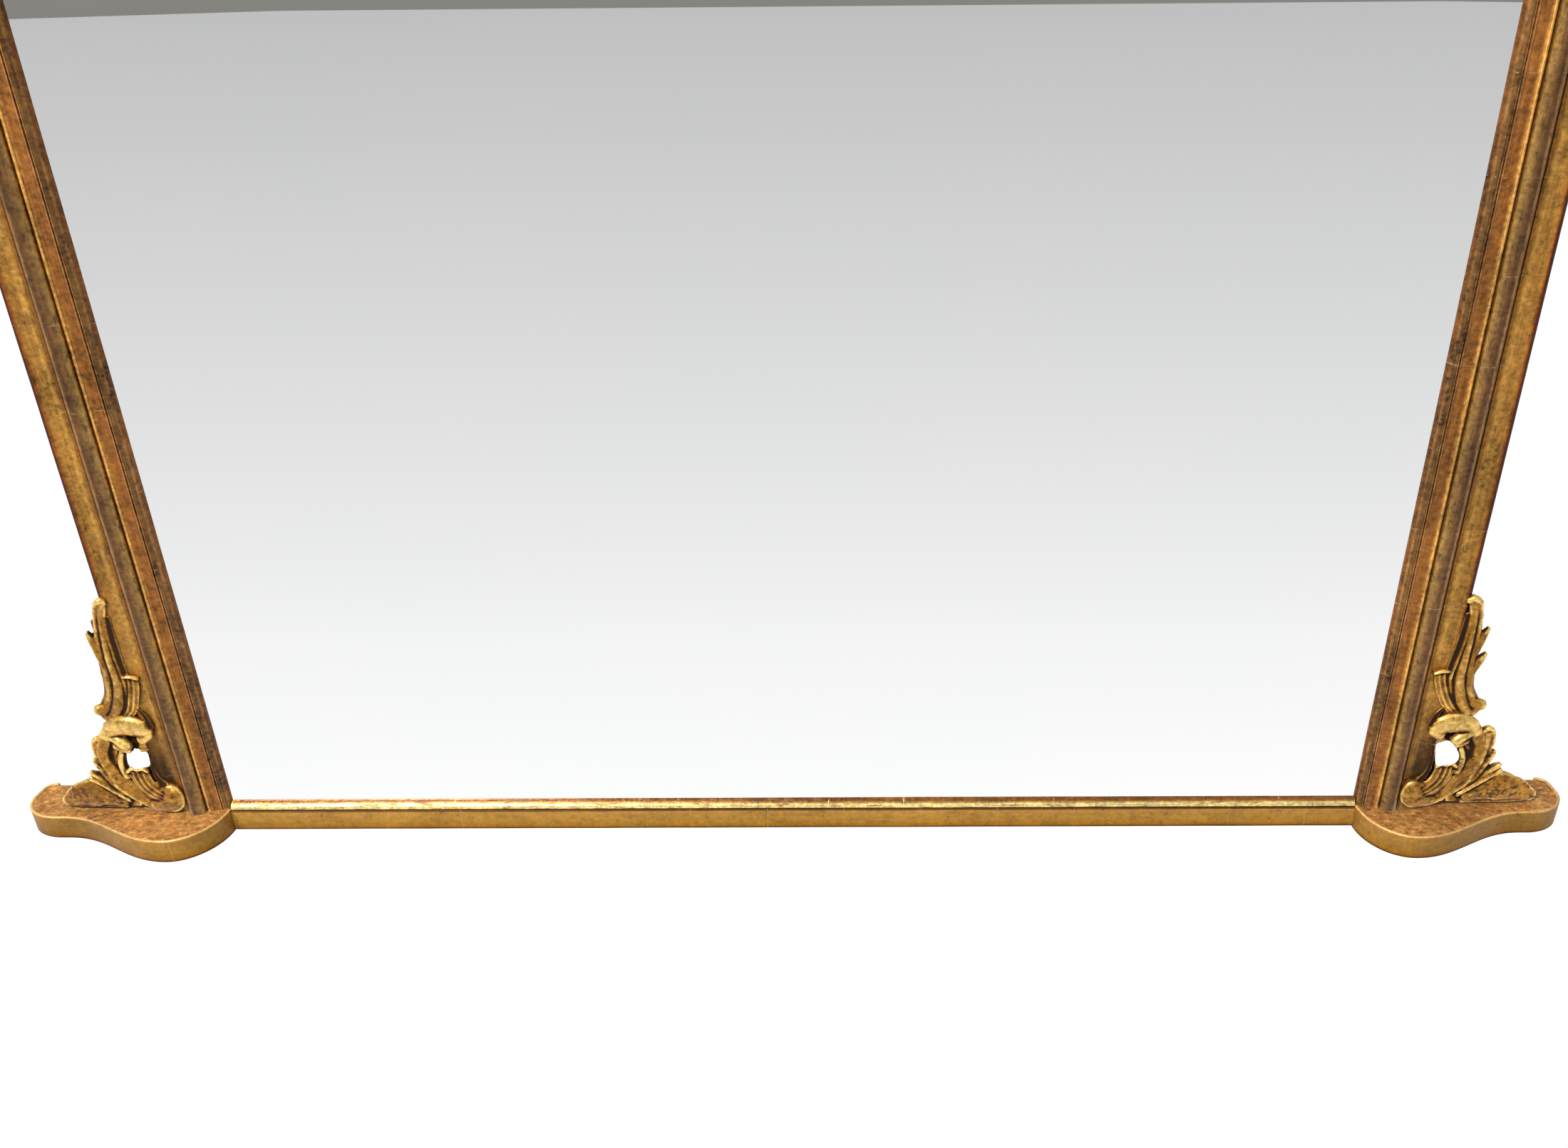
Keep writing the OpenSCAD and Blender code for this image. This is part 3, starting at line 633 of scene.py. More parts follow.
@dataclass(frozen=True)
class CarvedGilding(Finish):
    """Gilding on carved work: painted highlights on the ridges, and painted shade with grime in the
    hollows.

    It reads the piece's own attributes ridge, hollow, spots, bare and tone, from 0 to 1.
    """

    name: str = "carved_gilding"
    leaf: str = "c08c3a"
    toned: str = "94652a"
    # The painted highlight on the ridges
    pale: str = "fbd27c"
    # Painted shade with grime in the hollows, and browned leaf on strokes toned down
    brown: str = "6b4213"
    # Near-black: painted shade deep in the hollows, gaps and along the foot, and the dark spots
    grime: str = "1c0c02"
    bole: str = "94420f"
    wood: str = "a8794a"
    old_wood: str = "6f4828"

    def surface(self, graph: Graph) -> Wire:
        """Leaf, with painted highlights on the ridges, painted shade with grime in the hollows, dark
        spots, red clay and bare wood behind.
        """
        body = graph.place()
        ridge, hollow, spots, bare, tone = (
            graph.node("ShaderNodeAttribute", {"attribute_name": name}, output="Fac")
            for name in ("ridge", "hollow", "spots", "bare", "tone"))
        cloud = graph.noise(body, 30.0, 3.0, 0.55)
        patch = graph.noise(body, 150.0, 5.0, 0.66)
        speck = graph.noise(body, 360.0, 4.0, 0.66)
        blot = graph.noise(body, (170.0, 170.0, 250.0), 6.0, 0.72)
        leafed = graph.mix(graph.step(cloud * 0.6 + patch * 0.4, 0.38, 0.62), self.toned, self.leaf)
        base = graph.mix(graph.step(tone, 0.5, 0.0) * 0.6, leafed, self.brown)
        uneven = (patch - 0.5) * 0.4
        # Painted highlights: pale on the ridges and on strokes toned up
        lift = graph.step(ridge + uneven + (tone - 0.5) * 1.3, 0.2, 0.9)
        lit = graph.mix(lift * 0.85, base, self.pale)
        # Painted shade with grime in the hollows
        shaded = graph.mix(graph.step(hollow + uneven, 0.02, 0.42) * 0.85, lit, self.brown)
        aged, _, _ = self.weathered(graph, shaded, body, patch, 0.9, 0.55)
        # Deep hollows, gaps and the line along the foot go near-black: painted shade with grime
        dark = graph.step(hollow + (speck - 0.5) * 0.4, 0.26, 0.66)
        darkened = graph.mix(dark * 0.94, aged, self.grime)
        spotted = (graph.step(blot * 0.8 + cloud * 0.3 + spots * 0.17, 0.625, 0.70)
                   * graph.step(spots, 0.02, 0.2) * 0.9)
        blotched = graph.mix(spotted * 0.9, darkened, self.grime)
        clay = graph.step(graph.noise(body, 60.0, 4.0, 0.7), 0.56, 0.68) * (1 - lift) * (1 - dark)
        worn = graph.mix(clay * 0.45, blotched, self.bole)
        grain = graph.noise(body, (260.0, 260.0, 30.0), 4.0, 0.6)
        timber = graph.mix(grain * 0.7 + cloud * 0.3, self.wood, self.old_wood)
        behind = graph.step(bare + uneven, 0.35, 0.65)
        return self.principled(
            graph, (grain * 0.3 + patch * 0.4 + speck * 0.3, 0.0005),
            Base_Color=graph.mix(behind, worn, timber), Specular_IOR_Level=0.2,
            Metallic=0.75 * (1 - dark) * (1 - spotted) * (1 - behind),
            Roughness=0.42 + dark * 0.3 + (grain - 0.5) * 0.3 - lift * 0.1 + behind * 0.2)


@dataclass(frozen=True)
class WornBole(Finish):
    """Rough gilding rubbed through to clay and gesso, as on the tops of the feet."""

    name: str = "worn_bole"
    gilt: str = "b4834a"
    clay: str = "8e5c2c"
    pink: str = "cc9c62"
    pale: str = "e0b478"
    dark: str = "36200e"

    def surface(self, graph: Graph) -> Wire:
        """Ochre leaf, brown clay, pink gesso and dark scratches."""
        body = graph.place()
        cloud = graph.noise(body, 22.0, 3.0, 0.6)
        patch = graph.noise(body, 95.0, 6.0, 0.72)
        streak = graph.noise(body, (110.0, 230.0, 200.0), 5.0, 0.68)
        base = graph.mix(graph.step(cloud * 0.5 + patch * 0.5, 0.44, 0.57) * 0.8, self.gilt, self.clay)
        chalky = graph.mix(graph.step(patch, 0.53, 0.66) * 0.5, base, self.pink)
        raised = graph.mix(graph.step(streak, 0.55, 0.66) * 0.4, chalky, self.pale)
        scratch = graph.step(streak * 0.5 + graph.noise(body, 210.0, 5.0, 0.75) * 0.5, 0.45, 0.38)
        darkened = graph.mix(scratch * 0.4, raised, self.dark)
        aged, _, grain = self.weathered(graph, darkened, body, streak, 1.3, 0.6)
        return self.principled(
            graph, (patch * 0.4 + streak * 0.4 + grain * 0.2, 0.0024), Base_Color=aged,
            Metallic=0.15, Roughness=0.58 + (grain - 0.5) * 0.3, Specular_IOR_Level=0.3)


@dataclass(frozen=True)
class Timber(Finish):
    """Planed softwood with growth rings along one axis.

    grain is the board's long axis, 0 for x and 2 for z.
    """

    name: str
    grain: int
    early: str
    late: str
    stain: str
    dust: float

    def surface(self, graph: Graph) -> Wire:
        """Long wavy rings, fine pores, stains and dust."""
        body = graph.place()
        x, y, z = graph.parts(body)
        along, across = (x, z) if self.grain == 0 else (z, x)
        sway = graph.noise(graph.joined(along * 0.7, across * 6.0, y * 9.0), 1.0, 2.0, 0.45)
        rings = graph.math("SINE", (across * 95.0 + y * 120.0 + sway * 26.0) * math.tau)
        pores = graph.noise(graph.joined(along * 30.0, across * 1600.0, y * 1600.0), 1.0, 4.0, 0.7)
        late = graph.step(rings, -0.4, 1.0) * 0.4 + pores * 0.45
        wood = graph.mix(late, self.early, self.late)
        cloud = graph.noise(body, 6.0, 4.0, 0.6)
        stained = graph.mix(graph.step(cloud, 0.5, 0.72) * 0.6, wood, self.stain)
        speck = graph.noise(body, 420.0, 4.0, 0.7)
        dusty = graph.mix(graph.step(speck, 0.45, 0.7) * self.dust, stained, "b5a48c")
        return self.principled(graph, (late * 0.5 + pores * 0.5, 0.00025), Base_Color=dusty,
                               Roughness=0.66 + (pores - 0.5) * 0.2)


@dataclass(frozen=True)
class DullMetal(Finish):
    """Metal that has been handled and has dulled."""

    name: str
    bright: str
    dull: str
    spots: str
    roughness: float

    def surface(self, graph: Graph) -> Wire:
        """Cloudy tarnish, spots and fine rolling marks."""
        body = graph.place()
        x, _, z = graph.parts(body)
        cloud = graph.noise(body, 90.0, 4.0, 0.6)
        rolled = graph.noise(graph.joined(x * 60.0, 0.0, z * 2400.0), 1.0, 3.0, 0.6)
        speck = graph.noise(body, 900.0, 3.0, 0.6)
        base = graph.mix(graph.step(cloud, 0.38, 0.66), self.bright, self.dull)
        spotted = graph.mix(graph.step(speck, 0.62, 0.72) * 0.8, base, self.spots)
        return self.principled(graph, (rolled * 0.6 + speck * 0.4, 0.00006), Base_Color=spotted,
                               Metallic=0.9, Roughness=self.roughness + (cloud - 0.5) * 0.3)


@dataclass(frozen=True)
class SilveredGlass(Finish):
    """Plate glass: a clean mirror in front and painted silvering behind."""

    name: str = "silvered_glass"
    painted_from: float = 14.6

    def surface(self, graph: Graph) -> Wire:
        """A mirror with the faintest waviness, and brushed grey-brown paint on the back."""
        body = graph.place()
        _, y, _ = graph.parts(body)
        haze = graph.noise(body, 3.0, 4.0, 0.6)
        mirror = self.principled(graph, Base_Color=graph.mix(haze, "f2f3f4", "f6f6f5"),
                                 Metallic=1.0, Roughness=0.004 + haze * 0.006)
        brushed = graph.noise(body, (5.0, 5.0, 160.0), 5.0, 0.65)
        painted = self.principled(
            graph, (brushed, 0.0002), Base_Color=graph.mix(brushed, "5d4a3a", "7b6a58"),
            Roughness=0.55 + brushed * 0.2)
        behind = graph.math("GREATER_THAN", y, self.painted_from * MM)
        return graph.node("ShaderNodeMixShader", None, {0: behind, 1: mirror, 2: painted})


def finish_piece(piece: Piece, node: str, finish: Finish) -> None:
    """Dress a new piece, let it ride on the frame and say which node it stands for.

    Args:
        piece: The new piece.
        node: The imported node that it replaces.
        finish: Its finish.
    """
    piece.data.materials.clear()
    piece.data.materials.append(finish.material())
    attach(piece, BODY)
    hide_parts(node)
    LOG.info("%s: %d faces, stands for %s", piece.name, len(piece.data.polygons), node)


def dress(node: str, finish: Finish) -> None:
    """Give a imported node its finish."""
    piece = NODES[node]
    piece.data.materials.clear()
    piece.data.materials.append(finish.material())
    LOG.info("%s: packed mesh with %s", node, finish.name)


# --- Geometry Nodes ---

class NodeTool:
    """A Geometry Nodes group with named inputs that is run once on an object."""

    name: str = ""
    inputs: dict[str, str] = {}

    def build(self, graph: Graph, given: dict[str, Wire]) -> Wire:
        """Add the group's nodes between its inputs and the geometry that it gives."""
        raise NotImplementedError

    def group(self) -> bpy.types.NodeTree:
        """The group, made once."""
        if self.name in bpy.data.node_groups:
            return bpy.data.node_groups[self.name]
        group = bpy.data.node_groups.new(self.name, "GeometryNodeTree")
        group.interface.new_socket("Geometry", in_out="OUTPUT", socket_type="NodeSocketGeometry")
        for name, kind in {"Geometry": "Geometry", **self.inputs, "Material": "Material"}.items():
            group.interface.new_socket(name, in_out="INPUT", socket_type="NodeSocket" + kind)
        graph = Graph(group)
        entry = group.nodes.new("NodeGroupInput")
        given = {s.name: Wire(graph, s) for s in entry.outputs if s.name}
        realized = graph.node("GeometryNodeRealizeInstances", None, {0: self.build(graph, given)})
        dressed = graph.node("GeometryNodeSetMaterial", None, {0: realized, 2: given["Material"]})
        graph.node("NodeGroupOutput", None, {0: dressed})
        return group

    def run(self, host: Piece, **values: Any) -> None:
        """Run the group on an object and keep its result as a plain mesh.

        Args:
            host: The object that takes the group's geometry.
            **values: The group's inputs, by name.
        """
        modifier = host.modifiers.new(self.name, "NODES")
        modifier.node_group = self.group()
        for item in modifier.node_group.interface.items_tree:
            if item.in_out == "INPUT" and item.name in values:
                modifier[item.identifier] = values[item.name]
        apply_modifiers(host)

    @staticmethod
    def shape_of(graph: Graph, thing: Wire, instance: bool = False) -> Wire:
        """Another object's geometry."""
        return graph.node("GeometryNodeObjectInfo", None,
                          {"Object": thing, "As Instance": instance}, "Geometry")

    @staticmethod
    def stored(graph: Graph, name: str, kind: str = "FLOAT") -> Wire:
        """The value that is stored on the geometry under a name."""
        return graph.node("GeometryNodeInputNamedAttribute", {"data_type": kind}, {"Name": name})

    @staticmethod
    def store(graph: Graph, geometry: Wire, name: str, value: Wire, **settings: Any) -> Wire:
        """Store a value on the geometry under a name."""
        return graph.node("GeometryNodeStoreNamedAttribute", {"data_type": "FLOAT", **settings},
                          {"Geometry": geometry, "Name": name, "Value": value})


class Sweep(NodeTool):
    """Sweeps a section along a path, and stores how far along and across each corner is."""

    name = "sweep_section"
    inputs = {"Path": "Object", "Section": "Object", "Start": "Float", "Facing": "Vector",
              "Waviness": "Float", "Swells": "Float"}

    def build(self, graph: Graph, given: dict[str, Wire]) -> Wire:
        """Path and section to a closed mesh with a map and a hand-made unevenness."""
        outwards = graph.vector("CROSS_PRODUCT", given["Facing"],
                                graph.node("GeometryNodeInputTangent"))
        turned = graph.node("GeometryNodeSetCurveNormal", {"mode": "FREE"},
                            {"Curve": self.shape_of(graph, given["Path"]), "Normal": outwards})
        run = graph.node("GeometryNodeSplineParameter", output="Length") + given["Start"]
        marked = self.store(graph, turned, "along", run)
        place = graph.node("GeometryNodeInputPosition")
        ruled = self.store(graph, self.shape_of(graph, given["Section"]), "across",
                           graph.parts(place)[0])
        solid = graph.node("GeometryNodeCurveToMesh", None,
                           {"Curve": marked, "Profile Curve": ruled, "Fill Caps": True})
        spread = graph.joined(self.stored(graph, "along"), self.stored(graph, "across"), 0.0)
        mapped = self.store(graph, solid, "UVMap", spread, data_type="FLOAT2", domain="CORNER")
        lift = (graph.noise(place, given["Swells"], 2.0, 0.45) - 0.5) * given["Waviness"]
        offset = graph.vector("MULTIPLY", graph.node("GeometryNodeInputNormal"),
                              graph.joined(lift, lift, lift))
        waved = graph.node("GeometryNodeSetPosition", None, {"Geometry": mapped, "Offset": offset})
        return graph.node("GeometryNodeSetShadeSmooth", None, {0: waved, "Shade Smooth": True})


class Scatter(NodeTool):
    """Sets one shape at marked points, each facing its own way and turned at random."""

    name = "scatter_shapes"
    inputs = {"Shape": "Object", "Spin": "Float", "Seed": "Int"}

    def build(self, graph: Graph, given: dict[str, Wire]) -> Wire:
        """Points to turned instances."""
        aimed = graph.node("FunctionNodeAlignRotationToVector", {"axis": "Z"},
                           {"Vector": self.stored(graph, "facing", "FLOAT_VECTOR")})
        spin = graph.node("FunctionNodeRandomValue", {"data_type": "FLOAT"},
                          {2: 0.0, 3: given["Spin"], 8: given["Seed"]}, 1)
        own_turn = graph.node("FunctionNodeAxisAngleToRotation", None,
                              {"Axis": (0.0, 0.0, 1.0), "Angle": spin})
        turned = graph.node("FunctionNodeRotateRotation", {"rotation_space": "LOCAL"},
                            {"Rotation": aimed, "Rotate By": own_turn})
        return graph.node("GeometryNodeInstanceOnPoints", None,
                          {"Points": given["Geometry"], "Rotation": turned,
                           "Instance": self.shape_of(graph, given["Shape"], True)})


def swept(node: str, points: Iterable[Point], outline: Iterable[Point], slot: str,
          finish: Finish, **values: Any) -> Piece:
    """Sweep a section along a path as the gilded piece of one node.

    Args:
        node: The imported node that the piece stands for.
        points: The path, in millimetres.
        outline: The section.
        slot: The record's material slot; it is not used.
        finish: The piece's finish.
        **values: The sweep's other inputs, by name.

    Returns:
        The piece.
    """
    path = curve_object("path", points, False)
    section = curve_object("section", outline, True)
    piece = new_object(f"gilt_{node}")
    Sweep().run(piece, Path=path, Section=section, Material=finish.material(), **values)
    drop(path, section)
    turn_outwards(piece.data, 1e-7)
    finish_piece(piece, node, finish)
    return piece


def scattered(name: str, spots: Sequence[Point], facings: Sequence[Point],
              shape: Piece, finish: Finish, spin: float, seed: int) -> Piece:
    """Set a helper shape at each spot, and remove the helper.

    Args:
        name: The new object's name.
        spots: Where the shapes stand, in metres.
        facings: The way that each one's z axis faces.
        shape: The helper.
        finish: The new object's finish.
        spin: The furthest that each is turned, in radians.
        seed: Which of the random turns they take.

    Returns:
        The new object.
    """
    host = new_object(name)
    host.data.from_pydata(spots, [], [])
    facing = host.data.attributes.new("facing", "FLOAT_VECTOR", "POINT")
    facing.data.foreach_set("vector", np.array(facings, np.float32).ravel())
    Scatter().run(host, Shape=shape, Spin=spin, Seed=seed, Material=finish.material())
    drop(shape)
    return host


# --- The frame's own sizes ---

@dataclass(frozen=True)
class Layout:
    """The driving sizes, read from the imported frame, in millimetres."""

    half_w: float
    foot_t: float
    spring_z: float
    corner_x: float
    sight_top: float
    frame_w: float
    plate_y: float
    carcass_y: float
    wall_y: float
    fascia_y: float
    fascia_h: float
    foot_reach: float
    foot_front: float
    foot_top: float
    crest_z: float
    palm_z: float

    @classmethod
    def from_frame(cls) -> "Layout":
        """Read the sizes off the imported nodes' boxes.

        Returns:
            The layout.
        """
        slip_low, slip_high = box_mm("slip_right")
        corner_low, corner_high = box_mm("slip_corner_right")
        stile_low, stile_high = box_mm("carcass_stile_right")
        fascia_low, fascia_high = box_mm("bottom_rail_fascia")
        foot_low, foot_high = box_mm("foot_facing_right")
        boss_low, boss_high = box_mm("crest_boss")
        return cls(
            half_w=slip_low.x, foot_t=slip_low.z, spring_z=slip_high.z, corner_x=corner_low.x,
            sight_top=corner_high.z - (slip_high.x - slip_low.x),
            frame_w=box_mm("outer_moulding_right")[1].x - slip_low.x,
            plate_y=box_mm("mirror_plate")[0].y, carcass_y=stile_low.y, wall_y=stile_high.y,
            fascia_y=fascia_low.y, fascia_h=fascia_high.z, foot_reach=foot_high.x - slip_low.x,
            foot_front=foot_low.y, foot_top=foot_high.z, crest_z=box_mm("carcass_top_rail")[1].z,
            palm_z=(boss_low.z + boss_high.z) / 2)

    @property
    def corner_r(self) -> float:
        """The radius of the glass's round corners."""
        return self.sight_top - self.spring_z


# --- Mouldings ---

class Run(Enum):
    """The stretches of the frame, in the order in which they are gone along."""

    RIGHT = "right"
    CORNER_RIGHT = "corner_right"
    TOP = "top"
    CORNER_LEFT = "corner_left"
    LEFT = "left"


@dataclass(frozen=True)
class Moulding:
    """One member of the frame's section: its outline and finish."""

    node: str
    outline: list[Point]
    finish: LeafGilding
    slot: str
    easing: float = 0.3
    strip: float = 1.3


def hollow(first: Point, last: Point, sag: float, steps: int = 12) -> list[Point]:
    """Points from first to last along a shallow hollow of that depth."""
    shares = [i / steps for i in range(1, steps)]
    return [(first[0] + (last[0] - first[0]) * t,
             first[1] + (last[1] - first[1]) * t - 4 * sag * t * (1 - t)) for t in shares]


@dataclass
class FrameMouldings:
    """The four gilded members that run up the sides and over the top."""

    layout: Layout
    back_p: float = -10.0
    # The slip beside the glass
    slip_w: float = 9.0
    slip_low: float = 1.2
    slip_high: float = 7.0
    slip_steps: int = 12
    # The sloping member with its bead
    crest_w: float = 1.2
    crest_p: float = 7.6
    slope_p: float = 6.4
    bead_a: float = 21.6
    bead_p: float = 9.0
    bead_r: float = 1.6
    groove_p: float = 7.0
    # The round member
    torus_a: float = 24.2
    torus_r: float = 9.0
    torus_p: float = 7.5
    # The outer member: a fillet, a hollow band and a round edge
    fillet_a: float = 43.2
    fillet_w: float = 2.6
    fillet_p: float = 9.5
    band_sag: float = 1.6
    band_p: float = 11.0
    edge_r: float = 5.6
    edge_out: float = 1.4
    # How the hand-made surface waves, and how finely the path is cut
    waviness: float = 0.5
    swells: float = 14.0
    path_step: float = 5.0

    def slip(self) -> Moulding:
        """The narrow burnished slip beside the glass, rubbed to its dark ground, with painted shadow
        along the glass's edge.
        """
        rise = self.slip_high - self.slip_low
        face = [(t * (self.slip_w - 1.1), self.slip_low + rise * (1 - (1 - t) ** 1.9))
                for t in (i / self.slip_steps for i in range(self.slip_steps + 1))]
        outline = [(0.0, 0.0), *face, (self.slip_w - 0.7, self.slip_high - 1.6),
                   (self.slip_w, self.slip_high - 1.8), (self.slip_w, 0.0)]
        # The black at the glass's edge is painted shadow; the dark brown beyond is leaf rubbed to its
        # ground
        finish = LeafGilding(
            "burnished_slip",
            ((0.0, "1a0d06"), (0.8, "5c3818"), (2.4, "946c3e"), (4.0, "6e4c28"), (5.5, "745028"),
             (6.9, "62401c"), (7.7, "b48850"), (8.5, "cc9c64"), (9.0, "a47444")),
            rubbed="4a2e16", rubbed_share=0.3, rubbed_grain=(130.0, 420.0), swing=1.7,
            lap="d9c684", lap_share=0.5, metallic=0.6, roughness=0.34)
        return Moulding("slip", outline, finish, "burnished_slip", 0.25)

    def inner(self) -> Moulding:
        """The sloping member, from a sharp crest out to a bead."""
        first, last = self.slip_w, self.torus_a
        outline = [(first, self.back_p), (first, self.crest_p), (first + self.crest_w, self.crest_p),
                   (first + self.crest_w + 0.5, self.slope_p),
                   (self.bead_a - self.bead_r, self.bead_p - 0.3),
                   *arc((self.bead_a, self.bead_p), self.bead_r, 186, -30, 12),
                   (last - 0.6, self.groove_p), (last, self.groove_p), (last, self.back_p)]
        # A painted highlight along the bead, and painted shadow in the quirk at the outer end
        finish = LeafGilding(
            "matt_bevel",
            ((9.0, "8a5c34"), (9.9, "b98a58"), (10.7, "8c5a2c"), (13.0, "95602c"),
             (17.4, "8c5826"), (19.2, "a06a2c"), (20.6, "dcaa5e"), (22.0, "cc9850"),
             (23.4, "a06c30"), (24.2, "5c3c16")),
            rubbed="6b3e1c", rubbed_share=0.3, swing=1.3, roughness=0.46)
        return Moulding("inner_moulding", outline, finish, "matt_gilt_bevel")

    def torus(self) -> Moulding:
        """The burnished round member, dark over its crown as a painted reflection of dark surroundings.
        """
        first, last = self.torus_a, self.torus_a + 2 * self.torus_r
        crown = arc((first + self.torus_r, self.torus_p), self.torus_r, 180, 0, 30)
        # Lighter flanks and the dark crown are painted reflection; the dark at its outer foot is
        # painted shadow
        finish = LeafGilding(
            "burnished_torus",
            ((24.2, "8c6628"), (25.4, "a88248"), (28.0, "8a683a"), (30.0, "7e5c38"),
             (32.0, "6e4c2c"), (34.2, "644426"), (35.6, "765430"), (36.9, "9c774c"),
             (38.6, "94683a"), (41.0, "94682e"), (42.2, "5c3a14")),
            rubbed="4a3018", rubbed_share=0.34, rubbed_grain=(60.0, 300.0), swing=1.2,
            lap="cdb482", lap_share=0.4, roughness=0.32)
        return Moulding("torus", [(first, self.back_p), *crown, (last, self.back_p)], finish,
                        "burnished_torus", 0.0)

    def outer(self) -> Moulding:
        """A small fillet, a matt hollow band and the round outer edge."""
        first = self.torus_a + 2 * self.torus_r
        shoulder = self.fillet_a + self.fillet_w
        last = self.layout.frame_w + self.edge_out
        band_start = (shoulder + 0.3, self.fillet_p - 0.5)
        band_end = (last - self.edge_r, self.band_p)
        outline = [(first, self.back_p), (first, self.groove_p), (self.fillet_a, self.groove_p),
                   (self.fillet_a, self.fillet_p), (shoulder, self.fillet_p), band_start,
                   *hollow(band_start, band_end, self.band_sag), band_end,
                   *arc((last - self.edge_r, self.band_p - self.edge_r), self.edge_r, 78, 0, 10),
                   (last, self.band_p - 2 * self.edge_r), (self.layout.frame_w, -2.0),
                   (self.layout.frame_w, self.back_p)]
        # Painted shadow in the quirk beside the torus, and painted shade darkening the outer edge,
        # which turns away from the light
        finish = LeafGilding(
            "matt_band",
            ((42.2, "422810"), (43.4, "855a28"), (45.6, "8c5e26"), (47.0, "9c7029"),
             (50.4, "bc8e44"), (54.0, "a87a38"), (58.0, "a07432"), (61.5, "a07032"),
             (62.8, "926026"), (63.8, "86480a"), (65.0, "5c2000"), (66.4, "300a00"), (69.4, "200800")),
            rubbed="7a4a1e", rubbed_share=0.24, swing=1.3, roughness=0.48, bracket_shadow_share=0.9)
        return Moulding("outer_moulding", outline, finish, "matt_gilt_band")

    def path(self, run: Run) -> tuple[list[Point], float]:
        """The line along the glass's edge for one stretch.

        Args:
            run: The stretch.

        Returns:
            Its points, and how far along the whole line it starts.
        """
        lay = self.layout
        upright = lay.spring_z - lay.foot_t
        quarter = math.pi / 2 * lay.corner_r
        level = 2 * lay.corner_x
        if run in (Run.RIGHT, Run.LEFT):
            steps = round(upright / self.path_step)
            line = [(lay.half_w, lay.foot_t + upright * i / steps) for i in range(steps + 1)]
        elif run is Run.TOP:
            steps = round(level / self.path_step)
            line = [(lay.corner_x * (1 - 2 * i / steps), lay.sight_top) for i in range(steps + 1)]
        else:
            line = arc((lay.corner_x, lay.spring_z), lay.corner_r, 0, 90,
                       round(quarter / self.path_step))
        if run in (Run.LEFT, Run.CORNER_LEFT):
            line = [(-x, z) for x, z in reversed(line)]
        starts = {Run.RIGHT: 0.0, Run.CORNER_RIGHT: upright, Run.TOP: upright + quarter,
                  Run.CORNER_LEFT: upright + quarter + level, Run.LEFT: upright + 2 * quarter + level}
        return [(x, lay.plate_y, z) for x, z in line], starts[run]

    def build(self) -> None:
        """Sweep each member along each stretch."""
        for moulding in (self.slip(), self.inner(), self.torus(), self.outer()):
            outline = eased(moulding.outline, moulding.easing, moulding.strip)
            for run in Run:
                points, start = self.path(run)
                swept(f"{moulding.node}_{run.value}", points, [(a, -p) for a, p in outline],
                      moulding.slot, moulding.finish, Start=start * MM, Facing=(0.0, 1.0, 0.0),
                      Waviness=self.waviness * MM, Swells=self.swells)


# --- Bottom rail and feet ---

@dataclass
class BottomRail:
    """The rail's gilded face and the slip that lies on it, painted brighter as if lit from above."""

    layout: Layout
    easing: float = 0.9
    strip: float = 2.5
    path_step: float = 6.0
    waviness: float = 0.5
    swells: float = 12.0
    # The slip's shadow lies along the top
    arris: str = "3e2408"
    rising: Stops = ((0.0, "885408"), (0.16, "aa741e"), (0.4, "b08436"), (0.86, "ba8a42"),
                     (0.97, "b98a48"))

    def sweep_across(self, node: str, outline: Sequence[Point], height: float, slot: str,
                     finish: Finish) -> None:
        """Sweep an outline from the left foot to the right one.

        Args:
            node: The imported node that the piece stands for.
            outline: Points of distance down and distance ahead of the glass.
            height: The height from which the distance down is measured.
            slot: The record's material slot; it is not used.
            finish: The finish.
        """
        lay = self.layout
        steps = round(2 * lay.half_w / self.path_step)
        line = [(lay.half_w * (2 * i / steps - 1), lay.plate_y, height) for i in range(steps + 1)]
        swept(node, line, [(a, -p) for a, p in outline], slot, finish, Start=0.0,
              Facing=(0.0, 1.0, 0.0), Waviness=self.waviness * MM, Swells=self.swells)

    def build(self) -> None:
        """Make the face and the slip."""
        lay = self.layout
        front, back = lay.plate_y - lay.fascia_y, lay.plate_y - lay.carcass_y
        face = [(0.0, back), (0.0, front), (lay.fascia_h, front), (lay.fascia_h, back)]
        self.sweep_across("bottom_rail_fascia", eased(face, self.easing, self.strip),
                          lay.fascia_h, "matt_gilt_fascia",
                          MattGilding("rail_gilding", lay.fascia_h, self.rising, self.arris))
        # The side slips' moulding, painted brighter as if lit from above, with painted shadow along its
        # foot
        bright = LeafGilding(
            "top_lit_slip",
            ((0.0, "1c120c"), (0.8, "5a3a1c"), (2.0, "8a6430"), (3.2, "c09a54"), (4.2, "fff0a8"),
             (6.8, "ffe7a0"), (7.6, "c8964c"), (8.3, "5a3810"), (9.0, "2a1806")),
            rubbed="7a5020", rubbed_share=0.42, rubbed_grain=(60.0, 420.0), swing=1.0, grime=0.7,
            lap="fff2c0", lap_share=0.5, metallic=0.6, roughness=0.26)
        mouldings = FrameMouldings(lay)
        slip = mouldings.slip()
        self.sweep_across("slip_bottom", eased(slip.outline, slip.easing, slip.strip),
                          lay.fascia_h + mouldings.slip_w, "bright_gilt", bright)


